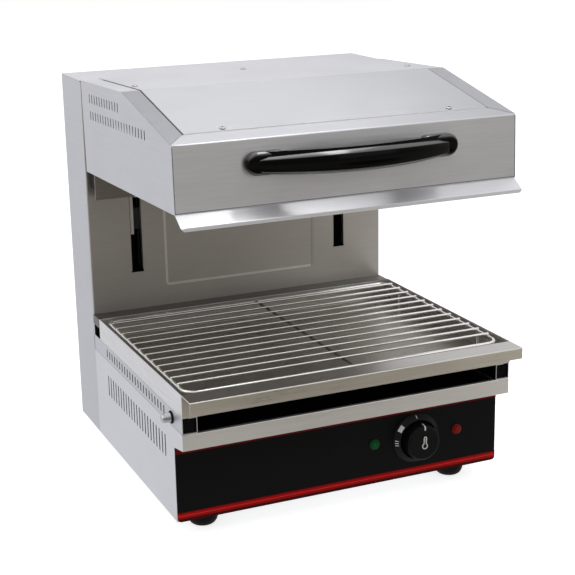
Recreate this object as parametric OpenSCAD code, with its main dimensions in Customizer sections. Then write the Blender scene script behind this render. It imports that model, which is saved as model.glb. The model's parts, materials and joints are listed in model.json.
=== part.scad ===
// Rise-and-fall cheese melter: a bench-top electric grill whose heated hood slides up and down a column.
// Millimetres, +X to the right, the front faces -Y, +Z up, origin under the middle of the feet on the bench.

/* [Casing] */
// Width across the casing's side panels
body_w = 450; // [400:1:600]
// Height of the column's top above the bench
overall_h = 526.5; // [515:0.5:620]
// Depth of the column, from the rear cover to the column's face
col_depth = 91; // [88:1:110]
// Distance from the rear cover to the front of the control panel
panel_depth = 426; // [400:1:470]
// How far the trim band stands in front of the control panel
trim_out = 30; // [12:1:40]
// Height of the base's top above the bench
base_top = 150; // [142:0.5:155]
// Height of the trim band's face
trim_h = 20.5; // [12:0.5:26]
// How much the trim band's underside drops towards the control panel
trim_drop = 6; // [2:0.5:10]
// Height of the rubber feet
foot_h = 25; // [18:1:35]
// Thickness of the casing's sheet steel
wall = 1.2; // [0.8:0.1:2]
// Thickness of the control panel's sheet
panel_t = 1.5; // [1:0.1:3]
// Width of the folded rear edges that the rear cover screws to
return_w = 14; // [12:1:20]

/* [Vents] */
// Distance between one vent slot and the next
vent_pitch = 11.35; // [9:0.05:14]
// Width of a vent slot
vent_w = 3.6; // [2:0.1:5]
// Length of the base's vent slots
vent_base_l = 29; // [15:1:35]
// Height of the lower end of the base's vent slots above the bench
vent_base_z = 99.5; // [70:0.5:108]
// Distance from the rear cover to the first vent slot of the base and the rails
vent_first = 152; // [130:1:180]
// Number of vent slots in the base's side and in the rail
vent_count = 21; // [8:1:22]
// Length of the rail's and the hood's vent slots
vent_small_l = 11.5; // [6:0.5:14]

/* [Lift] */
// Distance that the hood can be lowered from its highest place
lift_travel = 110; // [60:1:115]
// Distance from the middle of the casing to each slot in the column's face
slot_x = 156.5; // [140:0.5:165]
// Width of the slots in the column's face
slot_w = 16.5; // [14:0.5:22]
// Distance from the column's top down to the slots' lower ends
slot_drop = 273.5; // [263:0.5:290]
// Depth of the folded edges along the slots
slot_fold = 6; // [3:0.5:8]
// Height of the carriage arm where it passes through the slot
arm_neck = 90; // [60:1:95]
// Thickness of the carriage arms
arm_t = 5; // [3:0.5:6]
// How far the carriage arm hangs below its neck inside the column
arm_drop = 58; // [45:1:70]
// Diameter of the guide rods
rod_dia = 12; // [8:0.5:14]
// Running clearance between a shaft and its bore, on the radius
run_gap = 0.05; // [0.02:0.01:0.1]
// Size of a slide block, side to side and front to back
block_w = 24; // [20:1:26]
// Height of a slide block
block_h = 30; // [20:1:36]
// Radius at which the lift cable lies on its pulley
pulley_r = 23; // [18:0.5:24]
// Width of a pulley
pulley_w = 12; // [8:1:16]
// Distance from the middle of the casing to each lift cable
cable_x = 100; // [70:1:105]
// Diameter of the lift cables
cable_dia = 3; // [2:0.5:4]
// Diameter of the pulley shaft
shaft_dia = 10; // [8:0.5:12]
// Width of the counterweight
weight_w = 380; // [200:1:400]
// Height of the counterweight
weight_h = 104; // [60:1:110]
// Thickness of the counterweight
weight_t = 28; // [18:1:30]

/* [Hood] */
// Width of the hood
hood_w = 449; // [395:1:600]
// Depth of the hood, from its rear edge to its front panel
hood_d = 359; // [330:1:390]
// Height of the hood at its rear
hood_rear_h = 123; // [110:1:135]
// Height of the hood's front panel
hood_front_h = 79; // [65:1:95]
// Distance from the hood's rear edge to the bend in its top
hood_bend = 181; // [140:1:220]
// Angle by which the hood's nose is lifted
hood_tilt = 1.9; // [0:0.1:3]
// Distance from the column's top down to the hood's rear lower edge when the hood is up
hood_drop = 121.7; // [119:0.1:127]
// Gap between the column's face and the hood's rear lower edge
hood_gap = 9.9; // [8:0.1:16]
// Width of the margin that frames the top cover
margin_w = 25; // [18:1:40]
// Thickness of the hood's sheet steel
hood_t = 1; // [0.8:0.1:1.5]
// Length of the deflector lip below the front panel
lip_l = 24.5; // [15:0.5:40]
// Angle of the deflector lip below the hood's floor line
lip_angle = 34; // [10:1:45]
// Depth of the reflector, from the hood's lower edge to its roof
reflector_h = 58; // [45:1:62]
// Distance from the hood's outer sides to the reflector's walls
reflector_in = 22; // [16:1:30]
// Diameter of the tubular heating elements
element_dia = 8; // [6:0.5:9]
// Distance between the two legs of one heating element
element_pitch = 34; // [28:1:38]
// Number of hairpin heating elements
element_count = 4; // [2:1:4]
// Height of the elements above the hood's lower edge
element_z = 38; // [30:1:42]

/* [Handle] */
// Overall length of the hood's handle
handle_l = 280; // [220:1:320]
// How far the handle stands out from the front panel
handle_out = 39; // [36:1:50]
// Height of the handle's grip
handle_h = 27; // [20:1:32]
// Thickness of the handle's grip
handle_t = 13; // [10:1:16]
// Height of the handle's middle above the hood's lower edge
handle_z = 50; // [40:1:55]

/* [Tray and grid] */
// Distance from the rear cover to the tray's rear wall
tray_rear = 120; // [114:1:135]
// Distance from the control panel's front to the tray's front wall
tray_over = 32; // [20:1:36]
// Height of the tray's walls
tray_h = 29.5; // [24:0.5:34]
// Thickness of the tray's sheet
tray_t = 1.2; // [0.8:0.1:2]
// How far the tray's front lip reaches forward
tray_lip = 29; // [20:1:36]
// Height of the tray lip's turned-down edge
tray_lip_h = 15; // [8:0.5:18]
// Height of the tray rails
rail_h = 21.2; // [18:0.1:24]
// Width of the tray rails
rail_w = 19.5; // [16:0.5:24]
// Thickness of the rails' sheet
rail_t = 1.2; // [1:0.1:1.5]
// Gap that keeps a loose part clear of its seat
seat_gap = 0.3; // [0.1:0.1:0.5]
// Diameter of the grid's outer frame wire
grid_frame = 5; // [4:0.5:6]
// Diameter of the grid's rods
grid_rod = 3.5; // [2.5:0.5:4]
// Distance between the grid's rods
grid_pitch = 24.5; // [18:0.5:30]
// Gap between the tray's side walls and the grid's frame
grid_side_gap = 6; // [3:0.5:12]
// Gap between the tray's rear wall and the grid's frame
grid_rear_gap = 4.5; // [3:0.5:12]
// Gap between the tray's front wall and the grid's frame
grid_front_gap = 9.5; // [3:0.5:12]
// Radius of the grid frame's corners
grid_corner = 16; // [10:1:24]
// Height of the grid frame's middle above the tray's floor
grid_rise = 24.5; // [18:0.5:27]

/* [Controls] */
// Distance from the middle of the casing to the thermostat knob
knob_x = 105; // [80:1:130]
// Height of the knob above the base's bottom
control_z = 52.5; // [48:0.5:55]
// Diameter of the knob's face
knob_dia = 47; // [40:1:54]
// How far the knob's face stands out from the panel
knob_out = 23; // [18:1:28]
// Diameter of the dial bezel
bezel_dia = 67; // [60:1:76]
// Height of the dial bezel
bezel_h = 7.5; // [5:0.5:9]
// Diameter of the thermostat shaft
stem_dia = 6; // [5:0.5:8]
// Diameter of the signal lamps' lenses
lamp_dia = 14; // [10:1:16]
// Distance from the knob to each signal lamp
lamp_apart = 60.5; // [50:0.5:70]
// How far the lamps sit above the knob's middle
lamp_rise = 1.5; // [0:0.5:6]

/* [Feet and fixings] */
// Largest diameter of the rubber feet
foot_dia = 40; // [30:1:46]
// Distance from the casing's sides to the feet's middles
foot_in_x = 47; // [30:1:60]
// Distance from the control panel to the front feet's middles
foot_in_front = 41; // [30:1:60]
// Distance from the rear cover to the rear feet's middles
foot_in_rear = 70; // [30:1:74]
// Diameter of the screws' shanks
screw_dia = 3.5; // [3:0.5:4.5]
// Diameter of the screws' heads
screw_head = 7.5; // [6:0.5:9]
// How far the screws' heads stand out
screw_proud = 2; // [1:0.1:2.5]
// Gap around a screw's shank, on the radius
screw_gap = 0.15; // [0.1:0.05:0.3]
// Diameter of the thumb nuts on the rails
peg_dia = 12; // [8:0.5:14]
// How far the thumb nuts stand out from the casing's sides
peg_out = 13; // [6:1:16]
// Distance from the control panel back to the thumb nuts
peg_back = 8; // [4:1:14]
// Hole for the supply cord through the gland
gland_bore = 9.5; // [7:0.5:12]
// How far the gland stands out behind the rear cover
gland_out = 18; // [12:1:24]

/* [Hidden] */

steel = "#c4c6ca";
steel_dark = "#9a9894";
zinc = "#b0b2b6";
black = "#141416";

hw = body_w / 2;
hood_hw = hood_w / 2;
base_depth = panel_depth + trim_out;
col_top_z = overall_h - wall;
trim_z = base_top - trim_h;
face_in = col_depth - wall; // inner side of the column's face, measured from the rear cover

// Where the rear cover's outer face lies, so that the whole object is centred front to back.
hood_rear = col_depth + hood_gap;
grip_corner = 5;
grip_low = handle_z - handle_h / 2 + grip_corner;
hood_reach = hood_rear + (hood_d + handle_out - grip_corner) * cos(hood_tilt) - grip_low * sin(hood_tilt)
    + grip_corner;
tray_front = panel_depth + tray_over;
front_reach = max(hood_reach, tray_front + tray_lip);
rear_y = (front_reach - gland_out) / 2;
function fwd(d) = rear_y - d;

// Tray and rails
tray_floor = base_top + rail_h + seat_gap;
tray_top = tray_floor + tray_h;
grid_z = tray_floor + tray_t + grid_rise;
grid_hw = hw - tray_t - grid_side_gap - grid_frame / 2;
grid_rear = tray_rear + tray_t + grid_rear_gap + grid_frame / 2;
grid_front = tray_front - tray_t - grid_front_gap - grid_frame / 2;

ledge_z = tray_top - 1;

// Lift
slot_z = overall_h - slot_drop;
hood_z = overall_h - hood_drop;
slot_end_gap = 2;
neck_z = slot_z + lift_travel + slot_end_gap;
slot_top = neck_z + arm_neck + slot_end_gap;
arm_side_gap = 1.2;
arm_x = slot_x + slot_w / 2 - arm_side_gap - arm_t; // inner side of the arm
face_gap = 1.3; // between the arm's leg and the column's face
leg_front = face_in - face_gap;
rod_x = arm_x - block_w / 2;
rod_d = leg_front - 6.5 - block_w / 2;
plate_t = 2;
plate_d = hood_rear + 12; // rear side of the carriage plate
leg_z = neck_z - arm_drop;
leg_top = neck_z + arm_neck + 14;
block_low_z = leg_z + 6;
block_top_z = neck_z + arm_neck - block_h;
bar_t = 12;
cable_d = rod_d;
pulley_d = cable_d - pulley_r;
pulley_z = overall_h - 34;
groove_r = pulley_r - cable_dia / 2 - seat_gap;
flange_r = pulley_r + 2.5;
weight_z = slot_z - 18;
bracket_h = 12;
bearing_t = 8;

// Hood, in its own frame: f is measured forward from its rear lower edge
slope = atan((hood_rear_h - hood_front_h) / (hood_d - hood_bend));
cover_hw = hood_hw - margin_w;
cover_lap = 14;
cover_f = hood_d - margin_w - 3;
function roof(f) = f < hood_bend ? hood_rear_h : hood_rear_h - (f - hood_bend) * tan(slope);
refl_hw = hood_hw - reflector_in;
refl_rear = plate_d + plate_t - hood_rear + 14;
refl_front = hood_d - 16;
element_run = refl_front - refl_rear;
function element_f(i) = refl_rear + element_run * (i + 0.5) / element_count;
refl_t = 0.8;
bush_w = 8;

// Controls
control_zz = foot_h + control_z;
panel_top = trim_z - trim_drop - wall + 0.9;
lamp_hole = lamp_dia / 2 - 1;
lamp_z = control_zz + lamp_rise;

module slab(x0, x1, d0, d1, z0, z1)
    translate([x0, fwd(d1), z0]) cube([x1 - x0, d1 - d0, z1 - z0]);

// A plate along X, from its outline in distance from the rear cover and height
module side_plate(x, t, outline)
    translate([x, 0, 0]) rotate([90, 0, 90]) linear_extrude(t)
        polygon([for (p = outline) [fwd(p[0]), p[1]]]);

module both_sides() {
    children();
    mirror([1, 0, 0]) children();
}

// A straight round bar along Y, X or Z
module bar_y(x, z, r, d0, d1)
    translate([x, fwd(d0), z]) rotate([90, 0, 0]) cylinder(r = r, h = d1 - d0, $fn = 64);
module bar_x(d, z, r, x0, x1)
    translate([x0, fwd(d), z]) rotate([0, 90, 0]) cylinder(r = r, h = x1 - x0, $fn = 64);
module bar_z(x, d, r, z0, z1)
    translate([x, fwd(d), z0]) cylinder(r = r, h = z1 - z0, $fn = 64);

// The hood's own frame, tipped back about its rear lower edge
module in_hood()
    translate([0, fwd(hood_rear), hood_z]) rotate([-hood_tilt, 0, 0]) children();
module hood_slab(x0, x1, f0, f1, z0, z1)
    translate([x0, -f1, z0]) cube([x1 - x0, f1 - f0, z1 - z0]);
module hood_plate(x, t, outline)
    translate([x, 0, 0]) rotate([90, 0, 90]) linear_extrude(t)
        polygon([for (p = outline) [-p[0], p[1]]]);

// Rectangle with round corners, centred
module round_rect(w, h, r) {
    square([w - 2 * r, h], center = true);
    square([w, h - 2 * r], center = true);
    for (x = [-1, 1], y = [-1, 1]) translate([x * (w / 2 - r), y * (h / 2 - r)]) circle(r, $fn = 48);
}

// Pan head and shank along +Z, the head above z = 0
module pan_screw(l) {
    translate([0, 0, -l]) cylinder(d = screw_dia, h = l, $fn = 32);
    cylinder(d = screw_head, h = screw_proud * 0.45, $fn = 48);
    translate([0, 0, screw_proud * 0.45])
        cylinder(d1 = screw_head, d2 = screw_head * 0.62, h = screw_proud * 0.55, $fn = 48);
}

// ---- Column ----

emboss_w = 232;
emboss_low = max(slot_z - 25, ledge_z + 10);
emboss_high = overall_h - 55;
emboss_out = 0.8;
emboss_line = 3.5;
emboss_corner = 6;
notch = 1.2;

module slot_cut()
    translate([slot_x, 0, 0]) {
        slab(-slot_w / 2, slot_w / 2, face_in - slot_fold - 1, col_depth + 2, slot_z, slot_top);
        slab(-slot_w / 2 - notch, slot_w / 2 + notch, face_in - 1, col_depth + 2, slot_z, slot_z + 2);
    }

module slot_folds()
    for (s = [-1, 1])
        translate([slot_x + s * (slot_w + wall) / 2, 0, 0])
            slab(-wall / 2, wall / 2, face_in - slot_fold, face_in, slot_z + 3, slot_top);

cover_screw_z = [for (i = [0:3]) foot_h + 22 + i * (overall_h - foot_h - 50) / 3];
cover_screw_x = hw - wall - return_w / 2;

module column_shell() color(steel) difference() {
    union() {
        slab(-hw, hw, face_in, col_depth, foot_h + wall, col_top_z);
        both_sides() {
            slab(hw - wall, hw, 0, col_depth, foot_h, col_top_z);
            slab(hw - wall - return_w, hw, wall, 2 * wall, foot_h + wall, col_top_z);
            slot_folds();
        }
        translate([0, fwd(col_depth), (emboss_low + emboss_high) / 2]) rotate([90, 0, 0])
            linear_extrude(emboss_out) difference() {
                round_rect(emboss_w, emboss_high - emboss_low, emboss_corner);
                round_rect(emboss_w - 2 * emboss_line, emboss_high - emboss_low - 2 * emboss_line,
                    emboss_corner - emboss_line);
            }
    }
    both_sides() {
        slot_cut();
        for (z = cover_screw_z) bar_y(cover_screw_x, z, screw_dia / 2 + screw_gap, -1, 3 * wall);
    }
    slab(-lead_x - 8, lead_x + 8, face_in - 1, col_depth + 1, foot_h + wall + 4, foot_h + 80);
}

module column_top() color(steel) {
    slab(-hw, hw, 0, col_depth, col_top_z, overall_h);
    slab(-hw + wall + 1, hw - wall - 1, face_in - wall, face_in, col_top_z - 12, col_top_z);
    both_sides() slab(hw - 2 * wall, hw - wall, 4, face_in - 3, col_top_z - 12, col_top_z);
}

module rear_cover() color(steel_dark) difference() {
    slab(-hw + wall + 0.3, hw - wall - 0.3, 0, wall, foot_h + 0.5, col_top_z - 0.3);
    both_sides() {
        for (z = cover_screw_z) bar_y(cover_screw_x, z, screw_dia / 2 + screw_gap, -1, 3 * wall);
        for (i = [0:9], z = [150, 420])
            translate([30 + i * 2 * vent_pitch / 1.4, 0, z]) slab(-vent_w / 2, vent_w / 2, -1,
                wall + 1, 0, 36);
    }
    bar_y(gland_x, gland_z, gland_r + screw_gap, -1, wall + 1);
}

module rear_cover_screws() color(zinc)
    both_sides() for (z = cover_screw_z)
        translate([cover_screw_x, rear_y, z]) rotate([-90, 0, 0]) pan_screw(3 * wall + 3);

gland_x = -150;
gland_z = 72;
gland_r = 8;
module cable_gland() color(black) difference() {
    union() {
        bar_y(gland_x, gland_z, gland_r, -gland_out + 5, 12);
        translate([gland_x, rear_y, gland_z]) rotate([-90, 0, 0]) {
            cylinder(r = gland_r + 4, h = 6, $fn = 6);
            translate([0, 0, 6]) cylinder(r1 = gland_r + 2.2, r2 = gland_r + 0.8, h = gland_out - 6,
                $fn = 64);
        }
        translate([gland_x, fwd(wall + 5), gland_z]) rotate([-90, 0, 0]) cylinder(r = gland_r + 4,
            h = 5, $fn = 6);
    }
    bar_y(gland_x, gland_z, gland_bore / 2, -gland_out - 1, 13);
}

ledge_drop = 13;
module rear_ledge() color(steel_dark) {
    ledge_front = tray_rear - 2;
    slab(-hw, hw, col_depth, ledge_front, ledge_z - wall, ledge_z);
    slab(-hw, hw, ledge_front - wall, ledge_front, ledge_z - ledge_drop, ledge_z - wall);
    both_sides()
        slab(hw - wall, hw, col_depth, ledge_front - wall, ledge_z - ledge_drop, ledge_z - wall);
}

// ---- Base ----

function trim_outline() = [[col_depth, foot_h], [panel_depth - panel_t, foot_h],
    [panel_depth - panel_t, trim_z - trim_drop], [base_depth, trim_z],
    [base_depth, base_top], [col_depth, base_top]];

trim_return = 5;
shield_z = base_top - 16;
module heat_shield() color(black)
    slab(-hw + wall, hw - wall, col_depth, base_depth - wall, shield_z - wall, shield_z);
module rear_shield() color(black)
    slab(-hw + wall, hw - wall, col_depth, col_depth + wall, shield_z, ledge_z - wall);

module vent_row(first, count, z, l)
    for (i = [0:count]) slab(hw - 3 * wall, hw + 1, first + i * vent_pitch - vent_w / 2,
        first + i * vent_pitch + vent_w / 2, z, z + l);

module base_shell() color(steel) difference() {
    union() {
        both_sides() {
            side_plate(hw - wall, wall, trim_outline());
            slab(hw - rail_w, hw, col_depth + wall, base_depth, base_top - wall, base_top);
        }
        slab(-hw, hw, base_depth - trim_return, base_depth, base_top - wall, base_top);
        slab(-hw, hw, base_depth - wall, base_depth, trim_z, base_top);
        side_plate(-hw, body_w, [[base_depth, trim_z], [base_depth, trim_z + wall],
            [panel_depth - panel_t, trim_z - trim_drop + wall], [panel_depth - panel_t,
                trim_z - trim_drop]]);
    }
    both_sides() vent_row(vent_first, vent_count, vent_base_z, vent_base_l);
}

module base_bottom() color(steel_dark) difference() {
    slab(-hw + wall, hw - wall, wall, panel_depth - panel_t, foot_h, foot_h + wall);
    for (p = foot_places) bar_z(p[0], p[1], foot_bolt / 2 + screw_gap, foot_h - 1, foot_h + wall + 1);
    for (i = [0:11], d = [170, 250])
        translate([(i - 5.5) * 2 * vent_pitch, 0, 0]) slab(-vent_w / 2, vent_w / 2, d, d + 50,
            foot_h - 1, foot_h + wall + 1);
}

corner_r = 5;
module panel_sheet(d0, d1)
    translate([0, fwd(d0), foot_h + 100]) rotate([90, 0, 0]) linear_extrude(d1 - d0)
        round_rect(body_w, 200, corner_r);

module control_panel() color(black) difference() {
    intersection() {
        slab(-hw, hw, panel_depth - panel_t, panel_depth, foot_h, panel_top);
        panel_sheet(panel_depth - panel_t - 1, panel_depth + 1);
    }
    bar_y(knob_x, control_zz, stem_dia / 2 + 2, panel_depth - panel_t - 1, panel_depth + 1);
    for (s = [-1, 1]) bar_y(knob_x + s * lamp_apart, lamp_z, lamp_hole + screw_gap,
        panel_depth - panel_t - 1, panel_depth + 1);
}

stripe_low_h = 13;
stripe_top_h = 9;
stripe_out = 0.4;
module panel_stripes() color("#b01010") intersection() {
    union() {
        slab(-hw, hw, panel_depth, panel_depth + stripe_out, foot_h, foot_h + stripe_low_h);
        slab(-hw, hw, panel_depth, panel_depth + stripe_out, panel_top - stripe_top_h, panel_top);
    }
    panel_sheet(panel_depth - 1, panel_depth + 1);
}

body_half = 21;
thermo_d = 34;
module thermostat() color(zinc) difference() {
    union() {
        slab(knob_x - body_half, knob_x + body_half, panel_depth - panel_t - thermo_d,
            panel_depth - panel_t,
            control_zz - body_half, control_zz + body_half);
        for (s = [-1, 1]) slab(knob_x + s * 12 - 3, knob_x + s * 12 + 3,
            panel_depth - panel_t - thermo_d - 8,
            panel_depth - panel_t - thermo_d, control_zz - 4, control_zz + 4);
    }
    bar_y(knob_x, control_zz, stem_dia / 2 + run_gap, panel_depth - panel_t - thermo_d + 6, panel_depth);
}

bezel_in = knob_dia / 2 + 2.5;
module dial_bezel() color(black)
    translate([knob_x, fwd(panel_depth), control_zz]) rotate([90, 0, 0]) rotate_extrude($fn = 128)
        polygon([[bezel_in, 0], [bezel_dia / 2, 0], [bezel_dia / 2, 1.2], [bezel_in + 1.5, bezel_h],
            [bezel_in, bezel_h]]);

module lamp(x, tint) color(tint)
    translate([x, fwd(panel_depth), lamp_z]) rotate([90, 0, 0]) rotate_extrude($fn = 64)
        polygon(concat([[0, 0], [lamp_dia / 2, 0], [lamp_dia / 2, 1.6]],
            [for (a = [15:15:90]) [lamp_dia / 2 * cos(a), 1.6 + 3.4 * sin(a)]]));
module lamp_green() lamp(knob_x - lamp_apart, "#12914a");
module lamp_red() lamp(knob_x + lamp_apart, "#b5302a");

module lamp_holders() color(black) for (s = [-1, 1])
    difference() {
        union() {
            bar_y(knob_x + s * lamp_apart, lamp_z, lamp_hole, panel_depth - 30, panel_depth);
            bar_y(knob_x + s * lamp_apart, lamp_z, lamp_hole + 3, panel_depth - panel_t - 4,
                panel_depth - panel_t);
        }
        bar_y(knob_x + s * lamp_apart, lamp_z, 3.5, panel_depth - 26, panel_depth + 1);
    }

term_d = panel_depth - 276;
term_w = 22;
term_l = 60;
term_x = knob_x - 206;
function term_at(i) = term_x + (i - 2) * 11;
module terminal_block() color("#e8e4da") difference() {
    slab(term_x - term_l / 2, term_x + term_l / 2, term_d, term_d + term_w, foot_h + wall, block_top);
    for (i = [0:4]) bar_y(term_at(i), foot_h + wall + 9, 2.5, term_d - 1, term_d + term_w + 1);
}

// A wire that lies level and turns square; its points are x and distance from the rear cover
module level_wire(points, z) for (i = [1:len(points) - 1]) {
    p = points[i - 1];
    q = points[i];
    slab(min(p[0], q[0]) - wire_w / 2, max(p[0], q[0]) + wire_w / 2, min(p[1], q[1]) - wire_w / 2,
        max(p[1], q[1]) + wire_w / 2, z, z + wire_w);
}
module wire_post(x, d, z0, z1)
    slab(x - wire_w / 2, x + wire_w / 2, d - wire_w / 2, d + wire_w / 2, z0, z1);

wire_w = 3;
wire_gap = 0.5;
block_top = foot_h + wall + 20;
thermo_back = panel_depth - panel_t - thermo_d - 8;
lamp_back = panel_depth - 30;
lamp_left = knob_x - lamp_apart;
lamp_right = knob_x + lamp_apart;
module control_wiring() color("#8a8a86") {
    end_gap = wire_gap + wire_w / 2;
    bend_d = thermo_back - 50;
    level_wire([[gland_x, 12.5 + wire_w / 2], [gland_x, 30], [gland_x + 20, 30], [gland_x + 20, term_d + 10],
        [term_at(0) + 3, term_d + 10]], gland_z - 1);
    wire_post(term_at(0) + 3, term_d + 10, block_top + wire_gap, gland_z + 1);
    level_wire([[term_x + term_l / 2 + end_gap, term_d + 11], [term_x + 50, term_d + 11],
        [term_x + 50, bend_d], [knob_x - 12, bend_d], [knob_x - 12, thermo_back - end_gap]], block_top - 10);
    wire_post(knob_x - 12, thermo_back - end_gap, block_top - 10, control_zz + 2);
    level_wire([[term_at(3), term_d + term_w + end_gap], [term_at(3), bend_d + 12], [lamp_left, bend_d + 12],
        [lamp_left, lamp_back - end_gap]], block_top - 16);
    wire_post(lamp_left, lamp_back - end_gap, block_top - 16, control_zz + 2);
    level_wire([[knob_x + 12, thermo_back - end_gap], [knob_x + 12, thermo_back - 10],
        [lamp_right, thermo_back - 10], [lamp_right, lamp_back - end_gap]], control_zz - 1.5);
    level_wire([[term_at(1), term_d - end_gap], [term_at(1), term_d - 30], [-lead_x, term_d - 30],
        [-lead_x, lead_d - 2]], lead_low - seat_gap - wire_w);
}

// The heating lead: a bundled lead that climbs inside the column, then runs on the carriage into the hood
lead_h = 2.4; // half the width of the sleeve on the carriage
lead_x = rod_x + rod_dia / 2 + lead_h + 0.6;
lead_d = 44;
lead_r = 3.2;
lead_low = foot_h + 14.3;
lead_high = neck_z + arm_neck / 2;
module hood_lead_lower() color("#c9c4b8") bar_z(-lead_x, lead_d, lead_r, lead_low, lead_high - lead_r - 0.3);

block_f = 150;
block_l = 70;
lead_in_d = plate_d + plate_t + 6;
lead_side = hood_hw - hood_t - 10.5;
lead_block = hood_rear + block_f * cos(hood_tilt) - 70 * sin(hood_tilt) - wire_gap;
lead_top = hood_z + 72;
module hood_lead_upper() color("#c9c4b8") {
    slab(-lead_x - lead_h, -lead_x + lead_h, lead_d - lead_r, lead_in_d, lead_high - lead_h, lead_high + lead_h);
    slab(-lead_side - lead_h, -lead_x + lead_h, lead_in_d - 2 * lead_h, lead_in_d, lead_high - lead_h,
        lead_high + lead_h);
    slab(-lead_side - lead_h, -lead_side + lead_h, lead_in_d - 2 * lead_h, lead_in_d, lead_high - lead_h,
        lead_top + lead_h);
    slab(-lead_side - lead_h, -lead_side + lead_h, lead_in_d - 2 * lead_h, lead_block, lead_top - lead_h,
        lead_top + lead_h);
}

foot_places = [for (s = [-1, 1], d = [foot_in_rear, panel_depth - foot_in_front]) [s * (hw - foot_in_x), d]];
foot_bolt = 5;
foot_low_r = 12;
foot_round = foot_dia / 2 - foot_low_r;
recess_r = 6.5;
recess_h = 9;
module feet() color(black) for (p = foot_places) translate([p[0], fwd(p[1]), 0]) difference() {
    rotate_extrude($fn = 96) polygon(concat([[0, 0]],
        [for (a = [-90:15:0]) [foot_low_r + foot_round * cos(a), foot_h * 0.6 * (1 + sin(a))]],
        [[foot_dia / 2, foot_h], [0, foot_h]]));
    translate([0, 0, -1]) cylinder(r = recess_r, h = recess_h + 1, $fn = 48);
    cylinder(r = foot_bolt / 2 + screw_gap, h = foot_h + 1, $fn = 48);
}

module foot_screws() color(zinc) for (p = foot_places) {
    bar_z(p[0], p[1], foot_bolt / 2, recess_h - 0.1, foot_h + wall + 6);
    bar_z(p[0], p[1], recess_r - 1.5, recess_h - 3.6, recess_h);
    translate([p[0], fwd(p[1]), foot_h + wall]) cylinder(r = foot_bolt * 0.95, h = 4, $fn = 6);
}

// ---- Tray rails ----

rail_return = 11;
rail_top = base_top + rail_h;
peg_d = panel_depth - peg_back;
peg_z = base_top + rail_h / 2;
peg_bolt = 2.5;
washer_t = 1;
module rail() difference() {
    union() {
        slab(hw - rail_t, hw, col_depth + wall, base_depth, base_top, rail_top);
        slab(hw - rail_w, hw, col_depth + wall, base_depth, base_top, base_top + rail_t);
        slab(hw - rail_w, hw - rail_w + rail_t, col_depth + wall, base_depth, base_top, rail_top);
        slab(hw - rail_w, hw - rail_w + rail_return, col_depth + wall, base_depth, rail_top - rail_t,
            rail_top);
    }
    vent_row(vent_first, vent_count, peg_z - vent_small_l / 2, vent_small_l);
    bar_x(peg_d, peg_z, peg_bolt + screw_gap, hw - 2 * rail_t, hw + 1);
}
// Black plugs that close the rails' front ends
plug_l = 25;
module rail_plugs() color(black) both_sides()
    slab(hw - rail_w + rail_t, hw - rail_t, base_depth - 3 - plug_l, base_depth - 3, base_top + rail_t,
        rail_top - rail_t);
module rail_right() color(steel) rail();
module rail_left() color(steel) mirror([1, 0, 0]) rail();

module rail_thumb_nuts() color(zinc) both_sides() {
    bar_x(peg_d, peg_z, peg_bolt, hw - rail_t - 4, hw + washer_t + 3);
    translate([hw - rail_t - 3.5, fwd(peg_d), peg_z]) rotate([0, 90, 0]) cylinder(r = 4.6, h = 3.5,
        $fn = 6);
    translate([hw + washer_t, fwd(peg_d), peg_z]) rotate([0, 90, 0]) rotate_extrude($fn = 64)
        polygon(concat([[0, 0], [peg_dia / 2 - 1, 0], [peg_dia / 2, 1]],
            [for (a = [0:18:90]) [(peg_dia / 2 - 2.5) + 2.5 * cos(a),
                peg_out - washer_t - 2.5 + 2.5 * sin(a)]],
            [[0, peg_out - washer_t]]));
}
module rail_washers() color("#3a3a3c") both_sides()
    difference() {
        bar_x(peg_d, peg_z, peg_dia / 2 + 2, hw, hw + washer_t);
        bar_x(peg_d, peg_z, peg_bolt + screw_gap, hw - 1, hw + 2);
    }

// ---- Lift mechanism inside the column ----

rod_low = slot_z - 103;
rod_high = overall_h - 14;
module guide_rods() color(zinc) both_sides() bar_z(rod_x, rod_d, rod_dia / 2, rod_low, rod_high);

module rod_brackets() color(steel_dark) both_sides() for (z = [rod_low + 1, rod_high - bracket_h - 1])
    difference() {
        slab(rod_x - block_w / 2, rod_x + block_w / 2, rod_d - block_w / 2, face_in, z, z + bracket_h);
        bar_z(rod_x, rod_d, rod_dia / 2 + run_gap, z - 1, z + bracket_h + 1);
    }

bearing_x = cable_x + pulley_w / 2 + 6;
module shaft_bearings() color(steel_dark) both_sides() difference() {
    slab(bearing_x, bearing_x + bearing_t, pulley_d - 12, face_in, pulley_z - 14, pulley_z + 14);
    bar_x(pulley_d, pulley_z, shaft_dia / 2 + run_gap, bearing_x - 1, bearing_x + bearing_t + 1);
}

module pulley_shaft() color(zinc) {
    bar_x(pulley_d, pulley_z, shaft_dia / 2, -bearing_x - bearing_t - 4, bearing_x + bearing_t + 4);
    both_sides() bar_x(pulley_d, pulley_z, shaft_dia / 2 + 3, bearing_x - 3, bearing_x - 0.3);
}

module pulleys() color("#d8d6d0") both_sides()
    translate([cable_x, fwd(pulley_d), pulley_z]) rotate([0, 90, 0]) rotate_extrude($fn = 96)
        polygon([[shaft_dia / 2 + 0.02, -pulley_w / 2], [flange_r, -pulley_w / 2], [flange_r,
            -pulley_w / 2 + 1.5],
            [groove_r, -cable_dia / 2 - seat_gap], [groove_r, cable_dia / 2 + seat_gap],
            [flange_r, pulley_w / 2 - 1.5], [flange_r, pulley_w / 2], [shaft_dia / 2 + 0.02,
                pulley_w / 2]]);

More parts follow.
